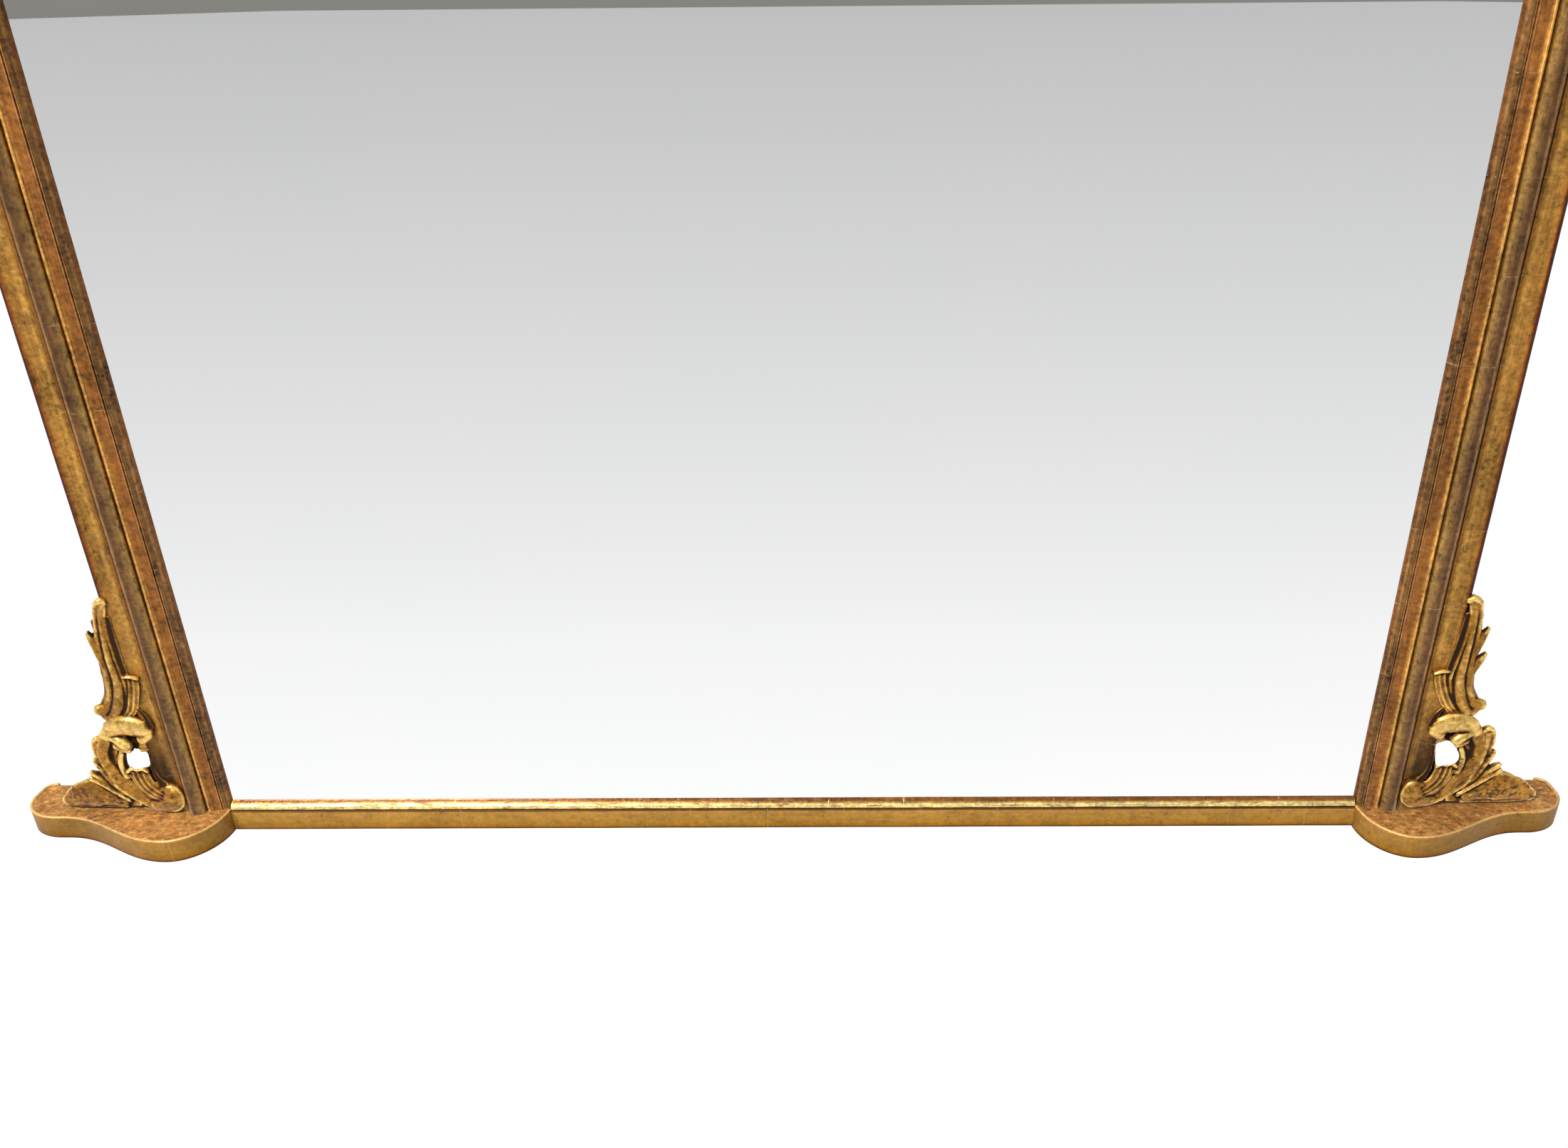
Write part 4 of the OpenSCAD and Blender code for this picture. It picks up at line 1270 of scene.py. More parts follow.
@dataclass
class Foot:
    """The serpentine feet: a gilded facing bent round a rough block."""

    layout: Layout
    bulge_a: float = 48.0
    neck_d: float = 63.0
    neck_run: float = 8.0
    end_run: float = 46.0
    end_d: float = 12.0
    heel_r: float = 12.0
    facing_t: float = 3.0
    lip_h: float = 1.6
    path_step: float = 2.5
    waviness: float = 0.35
    swells: float = 24.0
    voxel: float = 1.5
    hollow: float = 0.5
    hollows: float = 55.0

    def front_line(self) -> list[Point]:
        """Draw the right foot's front edge, from the rail round to its back corner.

        Returns:
            Its points (x, y).
        """
        lay = self.layout
        neck_y = lay.wall_y - self.neck_d
        end_a = lay.foot_reach - self.end_run
        end_y = lay.wall_y - self.heel_r - self.end_d
        bulge, neck = lay.fascia_y - lay.foot_front, neck_y - lay.foot_front
        points = [(self.bulge_a * (1 - math.cos(t)), lay.fascia_y - bulge * math.sin(t))
                  for t in (math.radians(90 * i / 24) for i in range(24))]
        points += [(self.bulge_a + (end_a - self.neck_run - self.bulge_a) * t,
                    lay.foot_front + neck * (1 - math.cos(math.pi * t)) / 2)
                   for t in (i / 32 for i in range(33))]
        points += [(end_a + self.end_run * math.sin(t), end_y + (neck_y - end_y) * math.cos(t))
                   for t in (math.radians(90 * i / 20) for i in range(1, 21))]
        points += arc((lay.foot_reach - self.heel_r, lay.wall_y - self.heel_r), self.heel_r, 0, 90)
        return [(lay.half_w + a, y) for a, y in points]

    def facing(self, side: int, word: str) -> Piece:
        """Sweep the facing's section round the foot.

        Args:
            side: 1 for the right foot, -1 for the left one.
            word: The side's name.

        Returns:
            The piece.
        """
        points = [(side * x, y, 0.0) for x, y in smooth_path(self.front_line(), self.path_step)]
        top, half_t = self.layout.foot_top, self.facing_t / 2
        outline = [(0.0, 0.0), (0.0, top - self.lip_h),
                   *arc((half_t, top - half_t), half_t, 165, 15, 8),
                   (self.facing_t, top - self.lip_h), (self.facing_t, 0.0)]
        return swept(f"foot_facing_{word}", points[::side], eased(outline, 0.6, 2.2),
                     "matt_gilt_fascia", MattGilding("foot_gilding", top), Start=0.0,
                     Facing=(0.0, 0.0, 1.0), Waviness=self.waviness * MM, Swells=self.swells)

    def block(self, word: str) -> Piece:
        """Roughen one side's packed block, as if with uneven gesso over its top.

        Args:
            word: The side's name.

        Returns:
            The piece.
        """
        node = f"foot_block_{word}"
        piece = merged_copy(node, f"rough_{node}")
        melt(piece, self.voxel, 0)
        roughen(piece, self.hollow * MM, self.hollows)
        shade_smooth(piece)
        finish_piece(piece, node, WornBole())
        return piece

    def build(self) -> None:
        """Make both feet, which the glass doesn't show, as in the photograph."""
        for side, word in SIDES:
            for piece in (self.facing(side, word), self.block(word)):
                piece.visible_glossy = False


def melt(piece: Piece, voxel: float, soften: int = 2) -> None:
    """Melt a piece's bodies into one with voxels of that many millimetres, and soften it."""
    modified(piece, "REMESH", mode="VOXEL", voxel_size=voxel * MM)
    if soften:
        modified(piece, "SMOOTH", factor=0.5, iterations=soften)


def shade_smooth(piece: Piece) -> None:
    """Shade every face of a piece smooth."""
    piece.data.polygons.foreach_set("use_smooth", [True] * len(piece.data.polygons))
    piece.data.update()


def rows_of(data: bpy.types.bpy_prop_collection, name: str) -> Rows:
    """A three-number property of each of a mesh's points, as rows."""
    flat = np.empty(len(data) * 3, np.float32)
    data.foreach_get(name, flat)
    return flat.reshape(-1, 3).astype(float)


def edge_ends(mesh: Mesh) -> tuple[Rows, Rows]:
    """The numbers of the first and of the last point of each of a mesh's edges."""
    ends = np.empty(len(mesh.edges) * 2, np.int32)
    mesh.edges.foreach_get("vertices", ends)
    return ends[::2], ends[1::2]


def shift_points(mesh: Mesh, outwards: Callable[[Rows], Rows]) -> None:
    """Move a mesh's points along their normals.

    Args:
        mesh: The mesh.
        outwards: Takes the points to how far each one moves, in metres.
    """
    points = rows_of(mesh.vertices, "co")
    moved = points + rows_of(mesh.vertex_normals, "vector") * outwards(points)[:, None]
    mesh.vertices.foreach_set("co", moved.astype(np.float32).ravel())
    mesh.update()


def swell_noise(points: Rows, scale: float, seed: int) -> Rows:
    """Smooth noise from sums of waves, about -1 to 1.

    Args:
        points: Where it is read, in metres.
        scale: Waves in a metre.
        seed: Which of the noises.

    Returns:
        One number for each point.
    """
    random = np.random.default_rng(seed)
    total = np.zeros(len(points))
    for _ in range(14):
        direction = random.normal(size=3)
        direction /= np.linalg.norm(direction)
        pace = scale * random.uniform(0.6, 1.7) * 2 * math.pi
        total += np.sin(points @ direction * pace + random.uniform(0, 2 * math.pi))
    return total / 4.5


def roughen(piece: Piece, depth: float, scale: float) -> None:
    """Move a piece's points inwards by smooth noise, never outwards past their place.

    Args:
        piece: The piece.
        depth: The deepest hollow, in metres.
        scale: Swells in a metre.
    """
    def outwards(points: Rows) -> Rows:
        """How far each point moves."""
        swell = swell_noise(points, scale, 7) * 0.6 + swell_noise(points, scale * 2.7, 8) * 0.4
        return -np.clip(0.5 - 0.5 * swell, 0, 1) * depth

    shift_points(piece.data, outwards)


# --- Carved work ---

class Relief(Enum):
    """How a stroke of carving is worked across its width."""

    PLAIN = "plain"
    REEDED = "reeded"
    FLUTED = "fluted"
    CUPPED = "cupped"


@dataclass(frozen=True)
class Stroke:
    """One sweep of the gouge: a spine of (u, v, front, half width), in millimetres.

    front is how far its crest stands ahead of the glass, full how round it is across, from
    0, flat, to 1, a half circle, blunt whether it starts with a cut end, spotted how far dark
    spots cover it, and tone how bright it is coloured, from -1 to 1: partly how bright its leaf
    has stayed, partly painted light, with painted highlights towards 1 and painted shadow at -1.
    """

    spine: tuple[Point, ...]
    relief: Relief = Relief.PLAIN
    count: int = 3
    depth: float = 1.2
    full: float = 0.75
    blunt: bool = False
    spotted: float = 0.0
    tone: float = 0.0

    def worked(self, shares: Rows) -> Rows:
        """Work the stroke's pattern across its width.

        Args:
            shares: Places across it, from -1 to 1.

        Returns:
            How deep the pattern is at each of them, in millimetres.
        """
        turn = (shares + 1) / 2 * math.pi * self.count
        if self.relief is Relief.REEDED:
            return self.depth * (1 - np.abs(np.sin(turn)) ** 0.6)
        if self.relief is Relief.FLUTED:
            return self.depth * np.abs(np.sin(turn)) ** 0.8
        if self.relief is Relief.CUPPED:
            return self.depth * np.cos(shares * math.pi / 2) ** 1.5
        return np.zeros(len(shares))


Placing = Callable[[Rows], Rows]


@dataclass(frozen=True)
class Hand:
    """How far one carved piece strays from the pattern.

    It is stretched about a point (u, v), and drawn out by lean above a height v.
    """

    about: Point = (0.0, 0.0)
    stretch: Point = (1.0, 1.0)
    lean_above: float = 0.0
    lean: Point = (0.0, 0.0)

    def shaped(self, places: Rows) -> Rows:
        """Rows of (u, v) where this hand carved them."""
        over = np.clip(places[:, 1:2] - self.lean_above, 0, None)
        return self.about + (places - self.about) * self.stretch + over * self.lean


@dataclass(frozen=True)
class Station:
    """One cross-section of a stroke: its middle, direction, crest, half width and strength."""

    place: Rows
    ahead: Rows
    front: float
    half: float
    fade: float = 1.0


@dataclass
class Carver:
    """Lofts strokes, melts them into one body of wood and marks its ridges and hollows.

    Places are given as seen on the plane facing_p. Below on_frame_u a stroke lies on the frame
    and reaches back to on_frame_p, and elsewhere as far as it is thick, but not past back_p.
    Battens fill the depth from board_p to back_p.
    """

    # Takes (u, v, p) to the row frame, in millimetres
    placing: Placing
    # The photograph's eye as (u, v, p), so that spines can be given as they are seen against
    # the facing plane, or None where they are given as they lie
    eye: Point | None = None
    hand: Hand = Hand()
    facing_p: float = 14.0
    across: int = 28
    step: float = 1.6
    thick: float = 11.0
    least_thick: float = 3.0
    taper: float = 0.45
    on_frame_u: float = 0.5
    on_frame_p: float = 7.0
    back_p: float = -23.8
    board_p: float = 4.0
    deepest: float = 9.0
    lowest_v: float = 0.0
    plate_y: float = 10.0
    # The height below which a dark line of painted contact shadow lies, in the row frame
    contact_shadow_z: float = -100.0

    def settled(self, rows: Rows) -> Rows:
        """Move rows that start (u, v, p) along the line of sight from the facing plane.

        Args:
            rows: One row for each point.

        Returns:
            The rows, with u and v where they lie at their own depth.
        """
        moved = rows.copy()
        moved[:, :2] = self.hand.shaped(rows[:, :2])
        if self.eye is not None:
            eye = np.array(self.eye)
            share = (eye[2] - rows[:, 2:3]) / (eye[2] - self.facing_p)
            moved[:, :2] = eye[:2] + (moved[:, :2] - eye[:2]) * share
        return moved

    def stations(self, stroke: Stroke) -> list[Station]:
        """Lay a stroke's cross-sections along its spine.

        Args:
            stroke: The stroke.

        Returns:
            The cross-sections, with those that round or cut off both ends.
        """
        line = self.settled(smooth_path(stroke.spine, self.step))
        way = np.gradient(line[:, :2], axis=0)
        way /= np.linalg.norm(way, axis=1)[:, None]
        found = [Station(row[:2], ahead, row[2], row[3]) for row, ahead in zip(line, way)]
        first, last = found[0], found[-1]
        for end, out, blunt in ((first, -1, stroke.blunt), (last, 1, False)):
            reach, fall, shrink = end.half, end.half * stroke.full, 1.0
            if blunt:
                reach, fall, shrink = min(1.2, 0.3 * end.half), 1.5, 0.12
            extra = []
            for turn in (math.radians(84 * k / 6) for k in range(1, 7)):
                left = 1 - math.cos(turn)
                fade = 1 - left * shrink
                extra.append(Station(end.place + out * end.ahead * reach * math.sin(turn),
                                     end.ahead, end.front - left * fall, end.half * fade, fade))
            found = found + extra if out > 0 else extra[::-1] + found
        return found

    def loft(self, stroke: Stroke, work: Solid) -> None:
        """Add one stroke to a mesh as a closed body.

        Args:
            stroke: The stroke.
            work: The mesh that it is added to.
        """
        shares = np.linspace(-1, 1, self.across + 1)
        round_off = 1 - np.sqrt(1 - (0.985 * shares) ** 2)
        rows = []
        for at in self.stations(stroke):
            side = np.array([-at.ahead[1], at.ahead[0]])
            sink = min(at.half, self.deepest) * stroke.full * round_off
            worked = stroke.worked(shares) * at.fade * (1 - 0.5 * shares ** 6)
            uv = at.place + side * (shares * at.half)[:, None]
            behind = at.place + side * (shares * at.half * (1 - self.taper))[:, None]
            deep = min(self.thick, self.least_thick + 1.6 * at.half)
            back = np.where(behind[:, 0] < self.on_frame_u, self.on_frame_p, at.front - deep)
            lowest = np.where(uv[:, 0] < self.on_frame_u, self.on_frame_p + 0.5, self.back_p + 2)
            p = np.maximum(at.front - sink - worked, lowest)
            ring = np.vstack([np.column_stack([uv, p]), np.column_stack(
                [behind, np.clip(np.minimum(back, p - 1), self.back_p, None)])[::-1]])
            ring[:, 1] = np.maximum(ring[:, 1], self.lowest_v)
            rows.append([work.verts.new(tuple(spot * MM)) for spot in self.placing(ring)])
        for first, second in zip(rows, rows[1:]):
            for i in range(len(first)):
                j = (i + 1) % len(first)
                work.faces.new((first[i], first[j], second[j], second[i]))
        work.faces.new(rows[0])
        work.faces.new(rows[-1][::-1])

    def backing(self, box: Point, work: Solid) -> None:
        """Add a plain batten behind the relief, which the pegs and screws enter.

        Args:
            box: Its lowest u and v and its highest.
            work: The mesh that it is added to.
        """
        u0, v0, u1, v1 = box
        steps = max(2, round((v1 - v0) / 6))
        along = [v0 + (v1 - v0) * i / steps for i in range(steps + 1)]
        outline = [(u0, v) for v in along] + [(u1, v) for v in reversed(along)]
        prism(work, *(self.placing(np.array([(u, v, p) for u, v in outline]))
                      for p in (self.board_p, self.back_p)))

    def pierce(self, piece: Piece, hole: Sequence[Point]) -> None:
        """Cut a hole that runs back along the photograph's line of sight.

        Args:
            piece: What is cut.
            hole: The hole's outline of (u, v) on the facing plane.
        """
        outline = smooth_path(hole, 2.0, closed=True)
        cutter = new_object("hole")
        with edited(cutter.data) as work:
            prism(work, *(self.placing(self.settled(np.column_stack(
                [outline, np.full(len(outline), p)]))) for p in (self.facing_p + 8, self.back_p - 4)))
        cut_away(piece, cutter)

    def carve(self, name: str, node: str, strokes: Sequence[Stroke], voxel: float, seed: int,
              battens: Sequence[Point], hole: Sequence[Point] = ()) -> None:
        """Carve one piece.

        Args:
            name: The piece's name.
            node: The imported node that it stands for.
            strokes: What is carved on it.
            voxel: How finely it is melted together, in millimetres.
            seed: Which unevenness it gets.
            battens: The plain battens behind it.
            hole: The outline of the hole through it, if it has one.
        """
        piece = new_object(name)
        with edited(piece.data) as work:
            for box in battens:
                self.backing(box, work)
            for stroke in strokes:
                self.loft(stroke, work)
            bmesh.ops.recalc_face_normals(work, faces=work.faces)
        melt(piece, voxel)
        if hole:
            self.pierce(piece, hole)
            melt(piece, voxel)
        self.finish(piece, node, strokes, seed)

    def finish(self, piece: Piece, node: str, strokes: Sequence[Stroke], seed: int) -> None:
        """Give a piece the slight unevenness of tool marks under gesso, and gild it.

        Args:
            piece: The piece.
            node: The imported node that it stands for.
            strokes: What is carved on it.
            seed: Which unevenness it gets.
        """
        def outwards(points: Rows) -> Rows:
            """How far each point moves."""
            swell = swell_noise(points, 60.0, seed) * 0.16
            return (swell + swell_noise(points, 150.0, seed + 1) * 0.05 - 0.12) * MM

        shift_points(piece.data, outwards)
        self.mark(piece.data, strokes)
        shade_smooth(piece)
        finish_piece(piece, node, CarvedGilding())

    def mark(self, mesh: Mesh, strokes: Sequence[Stroke]) -> None:
        """Store how far each point is a ridge or a hollow, for painted highlight and shade, and where
        dark spots gather.

        Args:
            mesh: The piece's mesh.
            strokes: What is carved on it.
        """
        points, facing = rows_of(mesh.vertices, "co"), rows_of(mesh.vertex_normals, "vector")
        a, b = edge_ends(mesh)
        degree = np.bincount(np.append(a, b), minlength=len(points))[:, None]

        def blurred(rows: Rows, times: int) -> Rows:
            """Average each row with its neighbours, over and over."""
            for _ in range(times):
                rows = np.stack([np.bincount(a, column[b], len(points))
                                 + np.bincount(b, column[a], len(points))
                                 for column in rows.T], axis=1) / degree
            return rows

        # Bare wood: what faces back, or lies deep and edge on
        ahead_p = self.plate_y - points[:, 1] / MM
        turned = np.clip((facing[:, 1] - 0.1) / 0.4, 0, 1)
        deep = np.clip((self.board_p + 0.5 - ahead_p) / 2, 0, 1)
        bare = np.maximum(turned, deep * np.clip((facing[:, 1] + 0.5) / 0.3, 0, 1))
        # Ridges and hollows: what stands out from its own blurred shape, or lies behind it
        near = blurred(points, 8)
        wide = blurred(near, 52)
        fine, broad = (np.einsum("ij,ij->i", points - mean, facing) / MM for mean in (near, wide))
        ridge = np.clip(fine * 1.6 + broad * 0.42, 0, 1)
        low = np.clip(-fine * 1.9 - broad * 0.5, 0, 1)
        # Painted shade with grime: hollows, and what is sunk behind the carving round it
        low = np.clip(low + self.depth_below(points), 0, 1) * (1 - bare)
        # A dark line of painted contact shadow where the carving meets the foot
        low = np.maximum(low, np.clip(self.contact_shadow_z - points[:, 2] / MM, 0, 1))
        # Flanks that face the frame, painted dark as the shade between carving and frame
        outwards = np.diff(self.placing(np.array([(1.0, 0.0, 0.0), (2.0, 0.0, 0.0)])), axis=0)[0]
        inwards = facing @ (-outwards / np.linalg.norm(outwards))
        flank = np.clip((inwards - 0.45) / 0.3, 0, 1) * np.clip((13.0 - ahead_p) / 4, 0, 1)
        low = np.maximum(low, flank * 0.9 * (1 - bare))
        # What each stroke asks for
        spots, tone = np.zeros(len(points)), np.zeros(len(points))
        for stroke in strokes:
            if stroke.spotted or stroke.tone:
                line = self.settled(smooth_path(stroke.spine, 2.5))
                for place, half in zip(self.placing(line[:, :3]) * MM, line[:, 3]):
                    away = np.linalg.norm(points - place, axis=1)
                    share = np.clip(1.35 - away / (half * MM), 0, 1)
                    spots = np.maximum(spots, stroke.spotted * share)
                    tone = np.where(abs(tone) > abs(stroke.tone * share), tone, stroke.tone * share)
        # Strokes toned down to -1 are painted shadow
        low = np.maximum(low, np.clip(-tone * 3 - 1.8, 0, 1) * (1 - bare))
        marks = {"ridge": ridge, "hollow": low, "spots": spots, "bare": bare, "tone": 0.5 + 0.5 * tone}
        for name, values in zip(marks, blurred(np.stack([*marks.values()], axis=1), 2).T):
            data = mesh.attributes.new(name, "FLOAT", "POINT").data
            data.foreach_set("value", values.astype(np.float32))

    @staticmethod
    def depth_below(points: Rows) -> Rows:
        """How far each point is sunk below the carving round it, seen from the front.

        Args:
            points: The piece's points, in metres.

        Returns:
            0 where a point stands free, up to 1 deep down.
        """
        cell, reach, sunk_y = 1.2 * MM, 6, 5.5 * MM
        col, row = ((points[:, (0, 2)] - points.min(0)[[0, 2]]) / cell).astype(int).T
        front = np.full((col.max() + 1, row.max() + 1), np.inf)
        np.minimum.at(front, (col, row), points[:, 1])

        def spread(grid: Rows) -> Rows:
            """Add up each cell's neighbours within reach."""
            for axis in (0, 1):
                grid = sum(np.roll(grid, shift, axis) for shift in range(-reach, reach + 1))
            return grid

        seen = np.isfinite(front)
        around = spread(np.where(seen, front, 0.0)) / np.maximum(spread(seen.astype(float)), 1e-6)
        return np.clip((points[:, 1] - around[col, row]) / sunk_y - 0.25, 0, 0.9)


def strokes_of_frond(second_tooth: bool, stub_out: float = 0.0) -> list[Stroke]:
    """The upper spray: long stems, a fluted stub on the frame, teeth and a knob.

    Args:
        second_tooth: Whether it has the smaller tooth too.
        stub_out: How far the stub's end lies outwards of the pattern.

    Returns:
        The strokes.
    """
    out = stub_out
    edge_rib = Stroke(((12, 119, 11, 2.8), (3.5, 137, 12, 2.6), (-2.2 + out * 0.4, 154, 12.6, 2.3),
        (-2.6 + out * 0.4, 167, 13.2, 2.1), (-1 + out * 0.2, 177, 13.2, 2.0), (1.2, 197, 13.2, 1.9),
        (2.8, 215, 13.2, 1.9), (2.8, 231, 13.6, 2.2), (1, 243, 14, 2.6)), full=1.0)
    # A dark strip beside the rib for the shadow between frond and frame: painted shadow
    gap_shadow = Stroke(((-6.4 + out * 0.4, 172, 12.2, 3.6), (-3.2, 195, 12.2, 4.0), (-1.6, 214, 12.2, 3.8),
        (-1.2, 232, 12.2, 2.8)), full=0.2, tone=-1.0)
    stem = Stroke(((22, 119, 13, 6.4), (12.5, 137, 14.4, 6.4), (7.6, 158, 14.6, 5.2),
        (7.4, 179, 14, 4.4), (7.6, 199, 13.6, 3.9), (7.2, 219, 13.4, 3.6), (6, 234, 14, 3.8),
        (4, 245, 15.4, 4.4)), full=0.8, tone=-0.2)
    outer_stem = Stroke(((30, 125, 11.5, 5), (23, 135, 12, 5.4), (17, 150, 12, 4.6),
        (14.6, 171, 11.6, 4.0), (14, 191, 11, 3.7), (13.8, 211, 11, 3.3), (12, 228, 11.8, 3.0),
        (9.6, 241, 14, 3.6)), full=0.85)
    rolled_tip = Stroke(((-2 + out * 0.6, 246.6, 14.4, 3.4), (4, 248.4, 16.2, 4.2),
        (9, 244.6, 15.4, 3.6)), full=1.0)
    tooth = Stroke(((13, 182, 10.4, 5.4), (17, 196, 11.2, 5.2), (20.6, 208, 11.8, 4.0),
        (23, 216.5, 12, 1.6)), full=0.8, tone=-0.5)
    small_tooth = Stroke(((14, 158, 10.6, 5.6), (18.6, 170.5, 11.4, 5.2), (23.2, 180.5, 12, 4.0),
        (26.4, 188, 12.2, 1.6)), full=0.8, tone=-0.5)
    edge = Stroke(((26, 137, 9, 4.6), (20.6, 148, 9, 3.8), (18, 160, 9, 3.4), (17, 172, 9, 3.0),
        (16.6, 184, 9, 2.6)), full=0.9)
    stub = Stroke(((-12.3 + out, 165.5, 13.4, 7.4), (-10 + out * 0.8, 155, 14, 7.4),
        (-5 + out * 0.5, 142, 14.4, 7.2), (2, 129, 14, 6.8), (10, 120, 12.6, 5)),
        Relief.FLUTED, 3, 1.5, 0.5, True)
    lip = Stroke(((-19.2 + out, 165.4, 14, 1.7), (-12.5 + out, 167.6, 15.2, 2.1),
        (-5.6 + out, 168, 14.6, 1.8)), full=1.0)
    knob = Stroke(((18, 133, 11.5, 5.4), (27, 130, 12.6, 6.4), (35.4, 127, 13.4, 6.9)), full=0.9,
        tone=-0.5)
    root = Stroke(((4, 124, 10.5, 7.5), (17, 120.5, 11.5, 8.5), (28, 121, 11, 7)), full=0.55)
    filler = Stroke(((16, 128, 10.6, 11.5), (7, 150, 11.4, 11), (4.6, 174, 11.2, 8.6),
        (5.4, 205, 10.8, 7), (4.6, 238, 11.6, 6)), full=0.3)
    shapes = [edge_rib, gap_shadow, stem, outer_stem, rolled_tip, tooth, edge, stub, lip, knob, root, filler]
    return shapes + [small_tooth] if second_tooth else shapes


def strokes_of_scroll() -> list[Stroke]:
    """The C-scroll: its rolled head, spine, fluted tongue and rolled foot."""
    head = Stroke(((-1, 99, 17, 9.8), (7, 103.4, 18, 11.8), (18, 104.6, 17.8, 11.8),
        (29, 101.8, 16, 10.6), (37, 95, 13.8, 8.6)), full=0.75, tone=0.6)
    fold = Stroke(((-6, 105, 12, 3.0), (1.5, 112.6, 13.2, 3.4), (13, 115.6, 13.6, 3.2),
        (25, 113.8, 12.6, 3.0), (35, 107.6, 11.2, 2.6)), full=0.9)
    chin = Stroke(((-4, 95, 16.6, 6.8), (1.5, 91, 16.6, 6.4)), full=0.95)
    body = Stroke(((34, 98, 13.4, 8), (42, 88, 12, 8.6), (46, 76, 11.4, 8.6), (45.4, 63, 11, 9),
        (40.6, 50, 11, 9.4), (33, 38.5, 11, 9.4), (23, 28, 11.6, 8.6), (11, 18, 12.6, 8)),
        Relief.REEDED, 2, 1.1, 0.7, tone=-0.25)
    # The ball of the curl is toned full up: a painted highlight
    curl = Stroke(((34, 94, 14, 4.4), (27, 89.5, 16.8, 6.2), (21, 83.4, 17.8, 6.3)), full=1.0, tone=1.0)
    throat = Stroke(((1, 87, 5, 6.4), (11, 89, 5, 8), (21, 92, 7, 6)), full=0.3)
    shell = Stroke(((19, 79, 15, 4.2), (25, 81.5, 14.6, 4.6), (30, 84, 13, 4)), full=1.0)
    inner_rib = Stroke(((25.5, 76, 11.4, 3.4), (29, 67, 12, 4.0), (30, 57, 12.2, 4.2),
        (28, 47, 12.2, 4.6)), full=0.95, spotted=0.2)
    trough = Stroke(((32, 82, 7.5, 5), (35, 70, 7, 5), (37, 56, 7, 5), (36, 42, 8, 5)), full=0.3,
        spotted=0.6)
    tongue = Stroke(((15.5, 53.5, 14.4, 10.8), (15, 45, 15.6, 11), (12, 34.5, 16.6, 10.8),
        (5, 25, 17, 10), (-4, 18.5, 16.6, 8.4)), Relief.FLUTED, 4, 1.7, 0.5, True)
    # A low web behind the tongue; it lies deep, so the painted shade of sunk places darkens it where
    # the frame's shadow falls
    web = Stroke(((5, 53, 3, 5), (2.5, 41, 3, 6), (0, 28, 4, 6)), full=0.3)
    hump = Stroke(((5.2, 52.6, 14.8, 1.8), (9.6, 56.2, 15.8, 2.3), (15, 55, 15.4, 2.0),
        (20.6, 56.8, 16, 2.3), (26, 52.6, 14.8, 2.0)), full=1.0)
    bulb = Stroke(((-12.4, 24.5, 17.6, 9.8), (-11.4, 15.4, 18.8, 12), (-3, 10, 17, 9.4),
        (7, 10, 14.4, 7)), full=0.75, spotted=0.25, tone=-0.3)
    rim = Stroke(((-2, 2.8, 13.8, 3.0), (-12, 4.2, 15.2, 3.6), (-20, 10, 15.6, 3.8),
        (-22, 19, 15.6, 3.8), (-19, 28.4, 15.6, 3.8), (-11.6, 32, 15.8, 3.4), (-5, 29.6, 15, 2.8)),
        full=0.9)
    sole = Stroke(((-2, 4.2, 13, 4.8), (8, 8, 12.4, 5.4), (20, 16, 12, 5.6), (32, 25.4, 11.4, 5.4),
        (42, 35.5, 10.6, 4.6)), full=0.95)
    # Dark strips for the shadow between the scroll and the frame: painted shadow
    gap_shadow_above = Stroke(((-2.6, 126, 11.8, 1.8), (-8.6, 117, 12.4, 3.0), (-12.4, 106, 12.4, 3.2)),
        full=0.2, tone=-1.0)
    gap_shadow_below = Stroke(((-3.4, 80, 11.6, 2.0), (-2.2, 62, 11.6, 2.6), (-4, 47, 12.2, 3.4),
        (-9, 38, 12.4, 4.0), (-17, 33, 12.0, 3.0)), full=0.2, tone=-1.0)
    return [head, fold, chin, body, throat, curl, shell, inner_rib, trough, tongue, web, hump,
            bulb, rim, sole, gap_shadow_above, gap_shadow_below]


